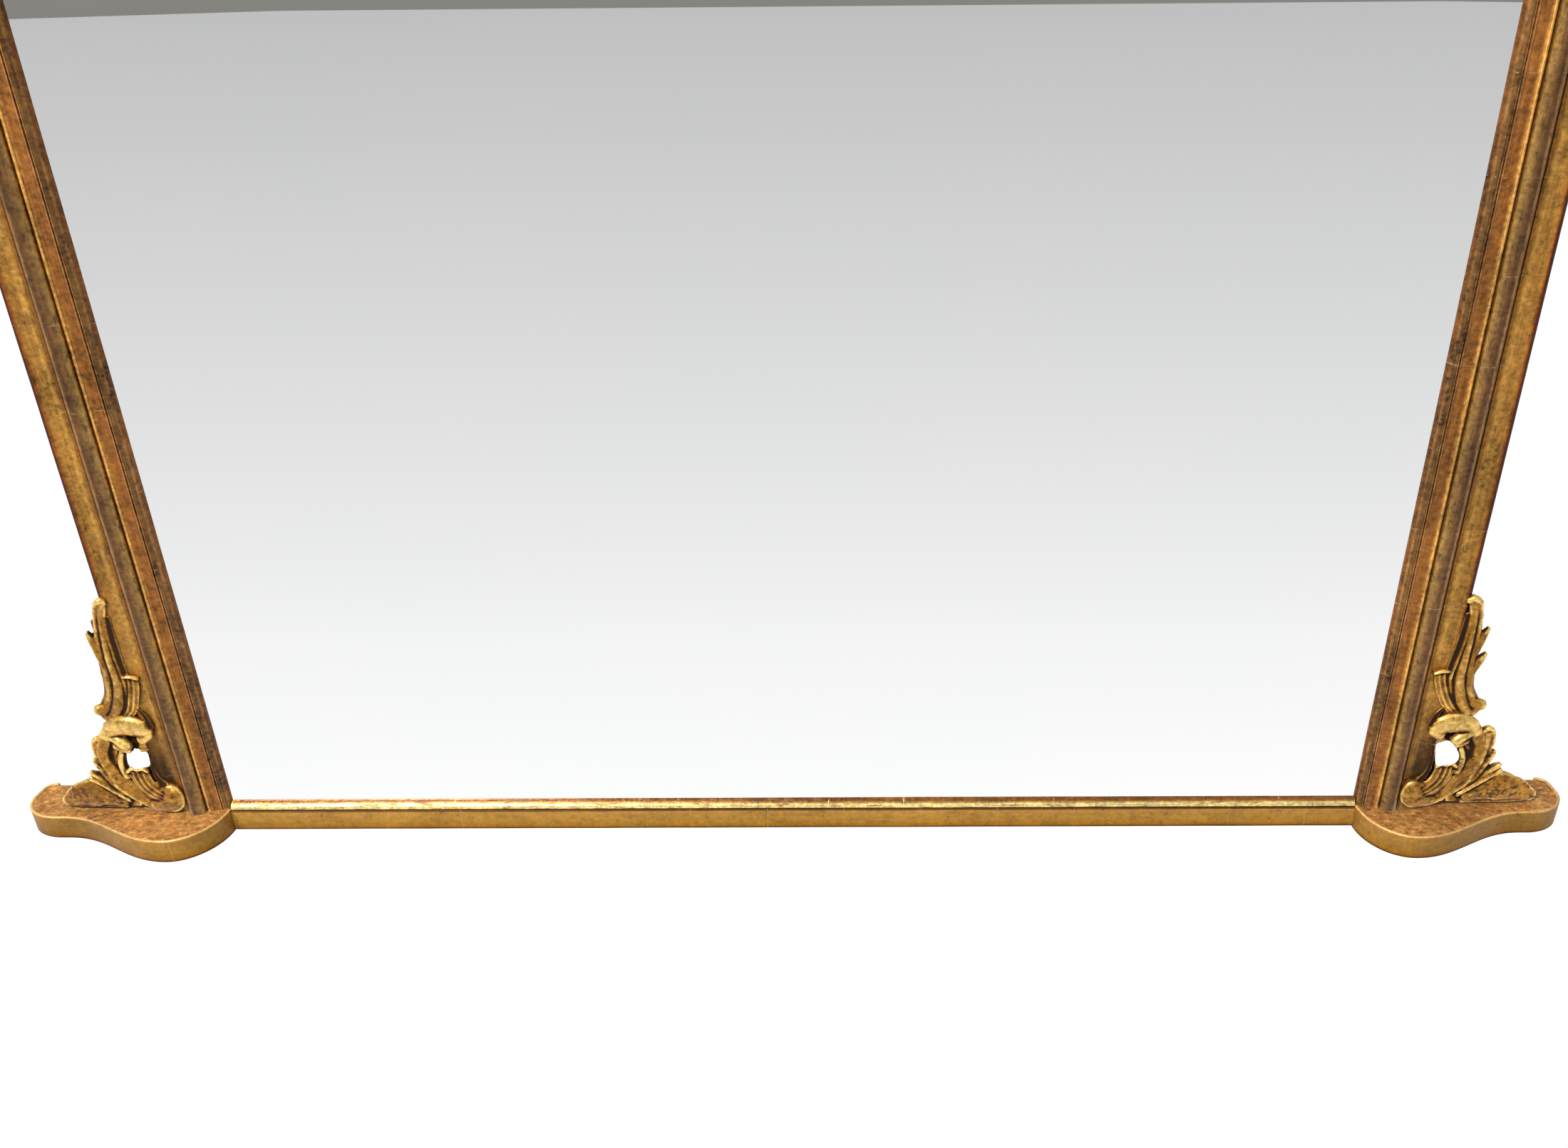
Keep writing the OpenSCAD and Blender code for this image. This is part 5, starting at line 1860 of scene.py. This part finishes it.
def strokes_of_leaf() -> list[Stroke]:
    """The fan of lobes behind the scroll and the low leaf that lies along the foot."""
    tall = Stroke(((38, 27, 8.6, 3.6), (45, 45, 9.4, 4.4), (49.6, 62, 9.8, 4.8), (51.4, 80, 10.2, 5.2),
        (51.2, 93, 11.6, 5.8)), full=0.95)
    tall_edge = Stroke(((45, 97, 11, 2.6), (51, 99.6, 12.4, 2.8), (55.6, 94.4, 11.6, 2.4),
        (57, 84, 10.4, 2.2), (55.6, 70, 9.4, 2.2)), full=1.0)
    middle = Stroke(((39, 25, 8.4, 3.2), (49, 42, 9.2, 3.8), (55, 56, 9.6, 4.2), (59.5, 66, 10.4, 3.4),
        (61.6, 71.6, 11, 1.8)), full=1.0)
    low = Stroke(((40, 23, 8.4, 3.0), (51, 35.5, 9.2, 3.6), (61, 46, 9.8, 4.0), (67.6, 52, 10.6, 3.4),
        (70.6, 55, 11, 2.2)), full=1.0)
    bright_rib = Stroke(((34, 17.5, 10, 2.5), (49, 29, 10.8, 2.6), (62, 39.4, 11, 2.6),
        (73, 47.6, 10.4, 2.4)), full=1.0)
    web = Stroke(((41, 26, 6.5, 7), (51, 48, 6.5, 8), (53, 74, 6.8, 5.5)), full=0.3, spotted=0.5)
    blade = Stroke(((46, 16.5, 8.4, 8.8), (58, 21.5, 9.4, 12.6), (72, 25.5, 9.8, 16.6),
        (87, 25, 8.8, 16), (100, 21, 6.8, 12.4), (110, 16.4, 4.4, 8)), full=0.5, spotted=0.5,
        tone=-0.25)
    blade_top = Stroke(((74, 43.6, 7.2, 3.2), (86, 39.6, 6.8, 3.0), (98, 31.8, 5.6, 2.8),
        (108, 23, 4, 2.6), (113.4, 15.2, 2.4, 2.2)), full=0.8)
    blade_vein = Stroke(((46, 17, 9.4, 1.7), (62, 23.6, 10.4, 1.7), (80, 27.6, 9.8, 1.6),
        (98, 24.6, 7.4, 1.4)), full=1.0, spotted=0.5)
    blade_foot = Stroke(((40, 9.5, 6.6, 3.6), (62, 9.4, 5.4, 3.4), (88, 10, 5, 3.4), (108, 12, 3, 3.2)),
        full=0.95)
    return [tall, tall_edge, middle, low, bright_rib, web, blade, blade_top, blade_vein, blade_foot]


@dataclass
class Brackets:
    """The pierced scroll brackets that stand on the feet beside the frame."""

    layout: Layout
    voxel: float = 0.8
    # The outline (u, v) of the hole through each side's scroll
    hole_right: tuple[Point, ...] = ((-1.6, 82), (3, 84.5), (9, 87), (15, 83), (19, 77.5),
                                     (24, 70), (24.4, 62), (20, 57.6), (12, 56.6), (5, 54.6), (1.4, 62))
    hole_left: tuple[Point, ...] = ((-2, 79), (6, 78), (13, 75), (18, 71), (18.6, 62),
                                    (16, 57.4), (8, 59), (-1, 62), (-2.6, 72))
    # The left-hand bracket's spray and head are drawn out further, and its low leaf is shorter
    left_frond: Hand = Hand(lean_above=190, lean=(-0.09, 0.08))
    left_stub_out: float = 4.5
    left_scroll: Hand = Hand(lean_above=85, lean=(-0.08, 0.14))
    left_leaf: Hand = Hand((28, 0), (0.86, 0.94))
    # How high the painted contact shadow reaches up the carving from the foot, in mm
    contact_shadow_h: float = 3.0

    def build(self) -> None:
        """Carve both brackets."""
        lay = self.layout
        edge = lay.half_w + lay.frame_w
        eye_x, eye_y, eye_z = (c / MM for c in Studio.eye)
        contact_shadow_z = lay.foot_t + self.contact_shadow_h
        for side, word in SIDES:
            def place(rows: Rows, side: int = side) -> Rows:
                """Stand the points on the foot beside the frame."""
                return np.column_stack([side * (edge + rows[:, 0]), lay.plate_y - rows[:, 2],
                                        lay.foot_t + rows[:, 1]])

            right = side > 0
            seed = 20 + side
            eye = (side * eye_x - edge, eye_z - lay.foot_t, lay.plate_y - eye_y)
            frond, scroll, leaf = ([Hand()] * 3 if right else
                                   [self.left_frond, self.left_scroll, self.left_leaf])
            Carver(place, eye, frond).carve(
                f"carved_frond_{word}", f"bracket_frond_{word}",
                strokes_of_frond(right, 0.0 if right else self.left_stub_out), self.voxel, seed,
                [(0, 120, 20, 158), (9, 156, 20, 228)])
            Carver(place, eye, scroll, contact_shadow_z=contact_shadow_z).carve(
                f"carved_scroll_{word}", f"bracket_scroll_{word}", strokes_of_scroll(),
                self.voxel, seed + 4, [(0, 0, 12, 110), (10, 0, 26, 14)],
                self.hole_right if right else self.hole_left)
            Carver(place, eye, leaf, contact_shadow_z=contact_shadow_z).carve(
                f"carved_leaf_{word}", f"bracket_leaf_{word}", strokes_of_leaf(), self.voxel,
                seed + 8, [(28, 0, 90, 15)])


@dataclass
class Cresting:
    """The palmette over the middle and the larger scrolls that run out from it."""

    layout: Layout
    voxel: float = 1.1
    palmette_voxel: float = 1.5
    start_x: float = 82.0
    scale: float = 1.3
    palmette_h: float = 239.5
    palmette_half: float = 108.0
    lobes: int = 9
    first_angle: float = -18.0
    # A lobe as (share of its reach, front, share of its width), and its vein with half widths
    lobe: tuple[Point, ...] = ((0.16, 13.0, 0.30), (0.35, 12.5, 0.44), (0.6, 13.0, 0.72),
                               (0.8, 14.0, 0.96), (0.86, 16.6, 0.92))
    vein: tuple[Point, ...] = ((0.2, 12.6, 1.4), (0.45, 12.6, 1.7), (0.7, 13.2, 1.7), (0.84, 14.6, 1.2))
    # A volute as (height, distance from the middle, front, half width)
    volute: tuple[Point, ...] = ((2, 6, 14, 6), (-8, 24, 15.5, 7), (-10, 44, 16, 7.4),
                                 (-1, 58, 16.6, 6.6), (12, 58, 17, 5.6), (16, 49, 17.4, 4.4),
                                 (10, 44, 17.4, 3.4))
    boss_r: float = 26.0
    boss_rise: float = 12.0
    base_rise: float = 2.0
    beads: int = 22
    bead_r: float = 2.6
    bead_rise: float = 1.9
    boss_voxel: float = 0.5

    def palmette_strokes(self) -> list[Stroke]:
        """The fan of hollow lobes with rolled tips, over two small volutes and a collar.

        Returns:
            The strokes.
        """
        centre = self.layout.palm_z - self.layout.crest_z
        sweep = 180 - 2 * self.first_angle
        strokes = []
        for i in range(self.lobes):
            angle = math.radians(self.first_angle + sweep * (i + 0.5) / self.lobes)
            across, up = math.cos(angle), math.sin(angle)
            reach = (self.palmette_half + (self.palmette_h - centre - self.palmette_half)
                     * max(up, 0.0) ** 1.5)
            widest = math.radians(sweep / self.lobes) * reach * 0.48
            lobe, vein = (tuple((centre + up * s * reach, across * s * reach, p, width * w)
                                for s, p, w in places)
                          for places, width in ((self.lobe, widest), (self.vein, 1.0)))
            strokes.append(Stroke(lobe, Relief.CUPPED, 1, 3.4, 0.5, spotted=0.35))
            strokes.append(Stroke(vein, full=1.0))
        for side, _ in SIDES:
            spine = tuple((up, side * x, p, w) for up, x, p, w in self.volute)
            strokes.append(Stroke(spine, Relief.REEDED, 2, 1.2, 0.8))
        collar = tuple((centre + z, x, 16, 4) for x, z in arc((0, 0), self.boss_r + 4, 0, 359, 12))
        return [*strokes, Stroke(collar, full=1.0)]

    def palmette(self) -> None:
        """Carve the palmette over the middle of the frame's top."""
        lay = self.layout

        def place(rows: Rows) -> Rows:
            """Stand the points over the middle."""
            return np.column_stack([rows[:, 1], lay.plate_y - rows[:, 2], lay.crest_z + rows[:, 0]])

        Carver(place, across=32, step=2.5, lowest_v=-500.0).carve(
            "carved_palmette", "crest_palmette", self.palmette_strokes(), self.palmette_voxel,
            41, [(0, -62, 110, 62)])

    def boss(self) -> None:
        """A domed boss inside a ring of beads."""
        middle = self.layout.palm_z
        back_y = box_mm("crest_boss")[1].y
        dome_r = self.boss_r - 2 * self.bead_r - 0.8
        profile = [(0.0, 0.0), (self.boss_r, 0.0), (self.boss_r, self.base_rise - 0.2),
                   (dome_r + 1.0, self.base_rise + 0.2)]
        profile += [(r, self.base_rise + rise * (self.boss_rise - self.base_rise) / dome_r)
                    for r, rise in arc((0.0, 0.0), dome_r, 0, 90, 14)]
        piece = new_object("beaded_boss")
        ring_r = self.boss_r - self.bead_r - 0.6
        spots = [(x * MM, (back_y - self.bead_rise) * MM, (middle + z) * MM)
                 for x, z in arc((0.0, 0.0), ring_r, 0, 360, self.beads)[:-1]]
        bead = new_object("bead")
        with edited(bead.data) as work:
            bmesh.ops.create_icosphere(work, subdivisions=3, radius=self.bead_r * MM)
        beads = scattered("beads", spots, [(0.0, -1.0, 0.0)] * self.beads, bead,
                          CarvedGilding(), math.tau, 3)
        with edited(piece.data) as work:
            lathe(work, profile, 48, lambda x, z, rise: (x, back_y - rise, middle + z))
            work.from_mesh(beads.data)
        drop(beads)
        melt(piece, self.boss_voxel, 0)
        Carver(lambda rows: rows).finish(piece, "crest_boss", (), 47)

    def build(self) -> None:
        """Carve the palmette, the boss and the runs on both sides."""
        self.palmette()
        self.boss()
        lay = self.layout
        outer_r = lay.corner_r + lay.frame_w
        for side, word in SIDES:
            def place(rows: Rows, side: int = side) -> Rows:
                """Lay the points along the frame's top, drooping with its shoulder."""
                x = self.start_x + self.scale * rows[:, 1]
                past = np.clip(x - lay.corner_x, 0, outer_r)
                droop = outer_r - np.sqrt(outer_r ** 2 - past ** 2)
                up = np.where(rows[:, 0] > 0, self.scale * rows[:, 0], rows[:, 0])
                return np.column_stack([side * x, lay.plate_y - rows[:, 2], lay.crest_z + up - droop])

            carver = Carver(place)
            for name, node, strokes, seed, battens in (
                    ("spray", "frond", strokes_of_frond(True), 60, [(0, 112, 10, 232)]),
                    ("volute", "scroll", strokes_of_scroll(), 64, [(0, 0, 10, 112), (8, 0, 26, 16)]),
                    ("acanthus", "leaf", strokes_of_leaf(), 68, [(24, 4, 92, 20)])):
                carver.carve(f"crest_{name}_{word}", f"crest_{node}_{word}", strokes, self.voxel,
                             seed + side, battens)


# --- Carcass, boards and fasteners ---

@dataclass
class Carcass:
    """The pine frame behind the gilding, its boards, glass, blocks, plates and screws."""

    arris: float = 0.8
    # The turn in degrees from which an edge is eased, and within which faces count as one
    arris_from: float = 50.0
    flat_within: float = 0.6
    boards: int = 5

    def timber(self, node: str, slot: str, finish: Finish) -> None:
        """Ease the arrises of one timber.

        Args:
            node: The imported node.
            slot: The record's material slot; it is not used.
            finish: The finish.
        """
        piece = merged_copy(node, f"timber_{node}")
        with edited(piece.data) as work:
            bmesh.ops.dissolve_limit(work, angle_limit=math.radians(self.flat_within),
                                     verts=work.verts, edges=work.edges)
        modified(piece, "BEVEL", width=self.arris * MM, segments=2, limit_method="ANGLE",
                 angle_limit=math.radians(self.arris_from), use_clamp_overlap=True)
        finish_piece(piece, node, finish)

    def build(self) -> None:
        """Dress the timbers, glass and plates, and set the screws."""
        fresh = ("cba573", "94683c", "7a5230", 0.1)
        level = Timber("carcass_timber", 0, *fresh)
        upright = Timber("stile_timber", 2, *fresh)
        old = Timber("board_timber", 0, "a9805a", "6d472a", "4d3220", 0.25)
        for node in ("stile_left", "stile_right"):
            self.timber(f"carcass_{node}", "pine", upright)
        for node in ("corner_left", "corner_right", "top_rail", "bottom_rail"):
            self.timber(f"carcass_{node}", "pine", level)
        for i in range(self.boards):
            self.timber(f"backboard_{i + 1}", "aged_pine", old)
        block = Timber("block_timber", 0, "b58d60", "7d5531", "5d3d25", 0.3)
        for node in ("plate_blocks", "carcass_dowels", "carving_dowels"):
            dress(node, block)
        dress("mirror_plate", SilveredGlass())
        dress("wall_plates", DullMetal("dull_brass", "b8934a", "8a6a34", "4a3a22", 0.4))
        brass = DullMetal("screw_brass", "b08c48", "806232", "453620", 0.38)
        Screws("wall_plate_screws", "brass", brass).build()
        iron = DullMetal("dull_iron", "5c554d", "443c35", "6a3f24", 0.5)
        for node in ("bracket_screws", "foot_screws", "backboard_screws"):
            Screws(node, "iron", iron).build()


@dataclass
class Screws:
    """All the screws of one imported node, each with its slot turned its own way."""

    node: str
    slot: str
    finish: Finish
    slot_w: float = 0.9
    slot_depth: float = 0.8
    rim: float = 0.35
    sides: int = 20

    def shells(self) -> list[Rows]:
        """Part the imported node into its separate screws.

        Returns:
            Each screw's points, in millimetres.
        """
        copy = merged_copy(self.node, "screws")
        points = rows_of(copy.data.vertices, "co") / MM
        first, last = edge_ends(copy.data)
        drop(copy)
        # Every point takes the lowest number among its neighbours until nothing changes
        shell, before = np.arange(len(points)), None
        while before is None or (shell != before).any():
            before = shell.copy()
            np.minimum.at(shell, first, before[last])
            np.minimum.at(shell, last, before[first])
        return [points[shell == number] for number in np.unique(shell)]

    def shape(self, head_r: float, shank_r: float, length: float) -> Piece:
        """A countersunk screw with a slotted head, its head at the origin and its tip down.

        Args:
            head_r: The head's radius.
            shank_r: The shank's radius.
            length: The whole length.

        Returns:
            The helper object.
        """
        profile = [(0.0, 0.0), (head_r - self.rim, 0.0), (head_r, -self.rim),
                   (shank_r, -self.rim - (head_r - shank_r)), (shank_r, 0.25 - length),
                   (shank_r - 0.3, -length), (0.0, -length)]
        screw, cutter = new_object("screw_shape"), new_object("slot")
        with edited(screw.data) as work:
            lathe(work, profile, self.sides, lambda x, y, z: (x, y, z))
        half, w = head_r + 1, self.slot_w / 2
        with edited(cutter.data) as work:
            prism(work, *([(-half, -w, z), (half, -w, z), (half, w, z), (-half, w, z)]
                          for z in (-self.slot_depth, 1.0)))
        cut_away(screw, cutter)
        return screw

    def build(self) -> None:
        """Find the heads and set a screw at each."""
        heads, facings, sizes = [], [], []
        for shell in self.shells():
            low, high = shell.min(0), shell.max(0)
            axis = int(np.argmax(high - low))
            others = [k for k in range(3) if k != axis]
            reach = []
            for end in (low[axis], high[axis]):
                ring = shell[np.abs(shell[:, axis] - end) < 0.05][:, others]
                reach.append(float((ring.max(0) - ring.min(0)).max()) / 2)
            top = int(reach[1] > reach[0])
            centre = (low + high) / 2
            centre[axis] = (low, high)[top][axis]
            heads.append(tuple(centre * MM))
            facings.append([float(2 * top - 1) if k == axis else 0.0 for k in range(3)])
            sizes.append((max(reach), min(reach), float((high - low)[axis])))
        head_r, shank_r, length = (float(v) for v in np.median(np.array(sizes), axis=0))
        shape = self.shape(head_r, max(shank_r, 0.45 * head_r), length)
        piece = scattered(f"slotted_{self.node}", heads, facings, shape, self.finish, math.pi, 5)
        finish_piece(piece, self.node, self.finish)


# --- Studio ---

@dataclass
class Studio:
    """The pale floor, the soft light and the camera."""

    # The camera, in metres and degrees
    eye: Point = (0.0784, -1.0341, 0.8072)
    yaw: float = 0.45
    pitch: float = 25.94
    roll: float = 0.48
    focal_px: float = 1676.0
    # Where the lens's axis meets the photograph, which was cut from a wider one
    axis_px: float = 1199.7
    sensor: float = 36.0
    clip: Point = (0.01, 500.0)
    # The floor's reach to the sides, ahead and behind, in metres
    floor_side: float = 40.0
    floor_ahead: float = 90.0
    floor_behind: float = 12.0
    # Distance ahead of the glass in metres, and the strength of the floor's glow there
    tones: tuple[tuple[float, float], ...] = (
        (0.0, 1.10), (0.12, 1.06), (0.39, 1.0), (0.64, 0.93), (1.34, 0.828), (2.8, 0.731),
        (7.5, 0.642), (18.0, 0.607), (60.0, 0.575))
    horizon_tone: float = 0.566

    def camera(self) -> None:
        """Set the camera where the photograph was taken from."""
        data = bpy.data.cameras.new("camera")
        data.sensor_fit = "HORIZONTAL"
        data.sensor_width = self.sensor
        data.lens = self.focal_px * self.sensor / PHOTO_WIDTH
        data.shift_x = 0.5 - self.axis_px / PHOTO_WIDTH
        data.clip_start, data.clip_end = self.clip
        yaw, pitch, roll = (math.radians(a) for a in (self.yaw, self.pitch, self.roll))
        ahead = Vector((-math.sin(yaw) * math.cos(pitch), math.cos(yaw) * math.cos(pitch),
                        -math.sin(pitch)))
        right = Vector((math.cos(yaw), math.sin(yaw), 0.0))
        down = ahead.cross(right)
        turned_right = math.cos(roll) * right + math.sin(roll) * down
        turned_down = -math.sin(roll) * right + math.cos(roll) * down
        axes = Matrix((turned_right, -turned_down, -ahead)).transposed()
        camera = new_object("camera", data)
        camera.matrix_world = Matrix.Translation(self.eye) @ axes.to_4x4()
        bpy.context.scene.camera = camera

    def floor(self) -> None:
        """A pale floor that glows by itself with painted light, darker with its distance ahead of the
        glass.
        """
        floor = new_object("floor")
        side, ahead, behind = self.floor_side, -self.floor_ahead, self.floor_behind
        corners = [(-side, ahead, 0), (side, ahead, 0), (side, behind, 0), (-side, behind, 0)]
        floor.data.from_pydata(corners, [], [(0, 1, 2, 3)])
        made = bpy.data.materials.new("floor")
        made.use_nodes = True
        graph = Graph(made.node_tree)
        _, y, _ = graph.parts(graph.place())
        far = math.log(1 + self.tones[-1][0] * 10)
        reach = graph.math("LOGARITHM", graph.math("MAXIMUM", 0.0 - y, 0.0) * 10.0 + 1.0, math.e)
        # A ramp holds colours up to 1, so the tones are halved, and doubled by the strength
        ramp = graph.ramp(reach / far, [(math.log(1 + d * 10) / far, (*[tone / 2] * 3, 1.0))
                                        for d, tone in self.tones])
        glow = graph.node("ShaderNodeEmission", None, {"Color": ramp, "Strength": 2.0})
        graph.node("ShaderNodeOutputMaterial", None, {"Surface": glow})
        floor.data.materials.append(made)
        # It is for the mirror to show, and would light the gilding flatly from below
        floor.visible_diffuse = False

    def world(self) -> None:
        """White behind the object for the camera, and a soft studio dome for everything else."""
        world = bpy.data.worlds.new("studio")
        world.use_nodes = True
        bpy.context.scene.world = world
        graph = Graph(world.node_tree)
        _, y, z = graph.parts(graph.place("Generated"))
        up = graph.step(z, 0.05, 0.9)
        behind = graph.step(y, -0.3, 0.9)
        above = graph.step(z, -0.25, 0.1)
        level = self.horizon_tone * (1 - behind) + behind * 0.9
        tone = (level * (1 - up) + up * 0.95) * (above * 0.54 + 0.04)
        lights, plain = (
            graph.node("ShaderNodeBackground", None, {"Color": colour, "Strength": 1.0})
            for colour in (graph.joined(tone, tone * 0.97, tone * 0.88), (1.0, 1.0, 1.0, 1.0)))
        seen = graph.node("ShaderNodeLightPath", output="Is Camera Ray")
        mixed = graph.node("ShaderNodeMixShader", None, {0: seen, 1: lights, 2: plain})
        graph.node("ShaderNodeOutputWorld", None, {"Surface": mixed})

    def lamp(self, name: str, place: Point, aim: Point, size: float, power: float,
             colour: Point) -> None:
        """Hang one square soft box.

        Args:
            name: Its name.
            place: Where it hangs, in metres.
            aim: The point that it faces.
            size: Its width and height.
            power: Its power in watts.
            colour: Its colour.
        """
        data = bpy.data.lights.new(name, "AREA")
        data.shape = "RECTANGLE"
        data.size = data.size_y = size
        data.energy = power
        data.color = colour
        lamp = new_object(name, data)
        lamp.location = place
        lamp.rotation_euler = (Vector(aim) - Vector(place)).to_track_quat("-Z", "Y").to_euler()

    def build(self) -> None:
        """Set up the whole studio."""
        bpy.context.scene.view_settings.view_transform = "Standard"
        self.camera()
        self.floor()
        self.world()
        self.lamp("key", (-1.7, -2.2, 2.7), (0.0, 0.0, 0.3), 1.0, 175.0, (1.0, 0.93, 0.8))
        self.lamp("fill", (1.8, -2.4, 2.8), (0.2, 0.0, 0.4), 1.6, 10.0, (1.0, 0.96, 0.88))


# --- Making everything ---


def main(frame: dict[str, Any]) -> None:
    """Build and dress the mirror's pieces, and set up the studio.

    Args:
        frame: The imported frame.
    """
    NODES.update(frame["nodes"])
    layout = Layout.from_frame()
    LOG.info("layout: %s", layout)
    Studio().build()
    FrameMouldings(layout).build()
    BottomRail(layout).build()
    Foot(layout).build()
    Carcass().build()
    Brackets(layout).build()
    Cresting(layout).build()


if __name__ == "__main__":
    logging.basicConfig(level=logging.INFO, format="%(message)s")
    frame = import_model()
    main(frame)
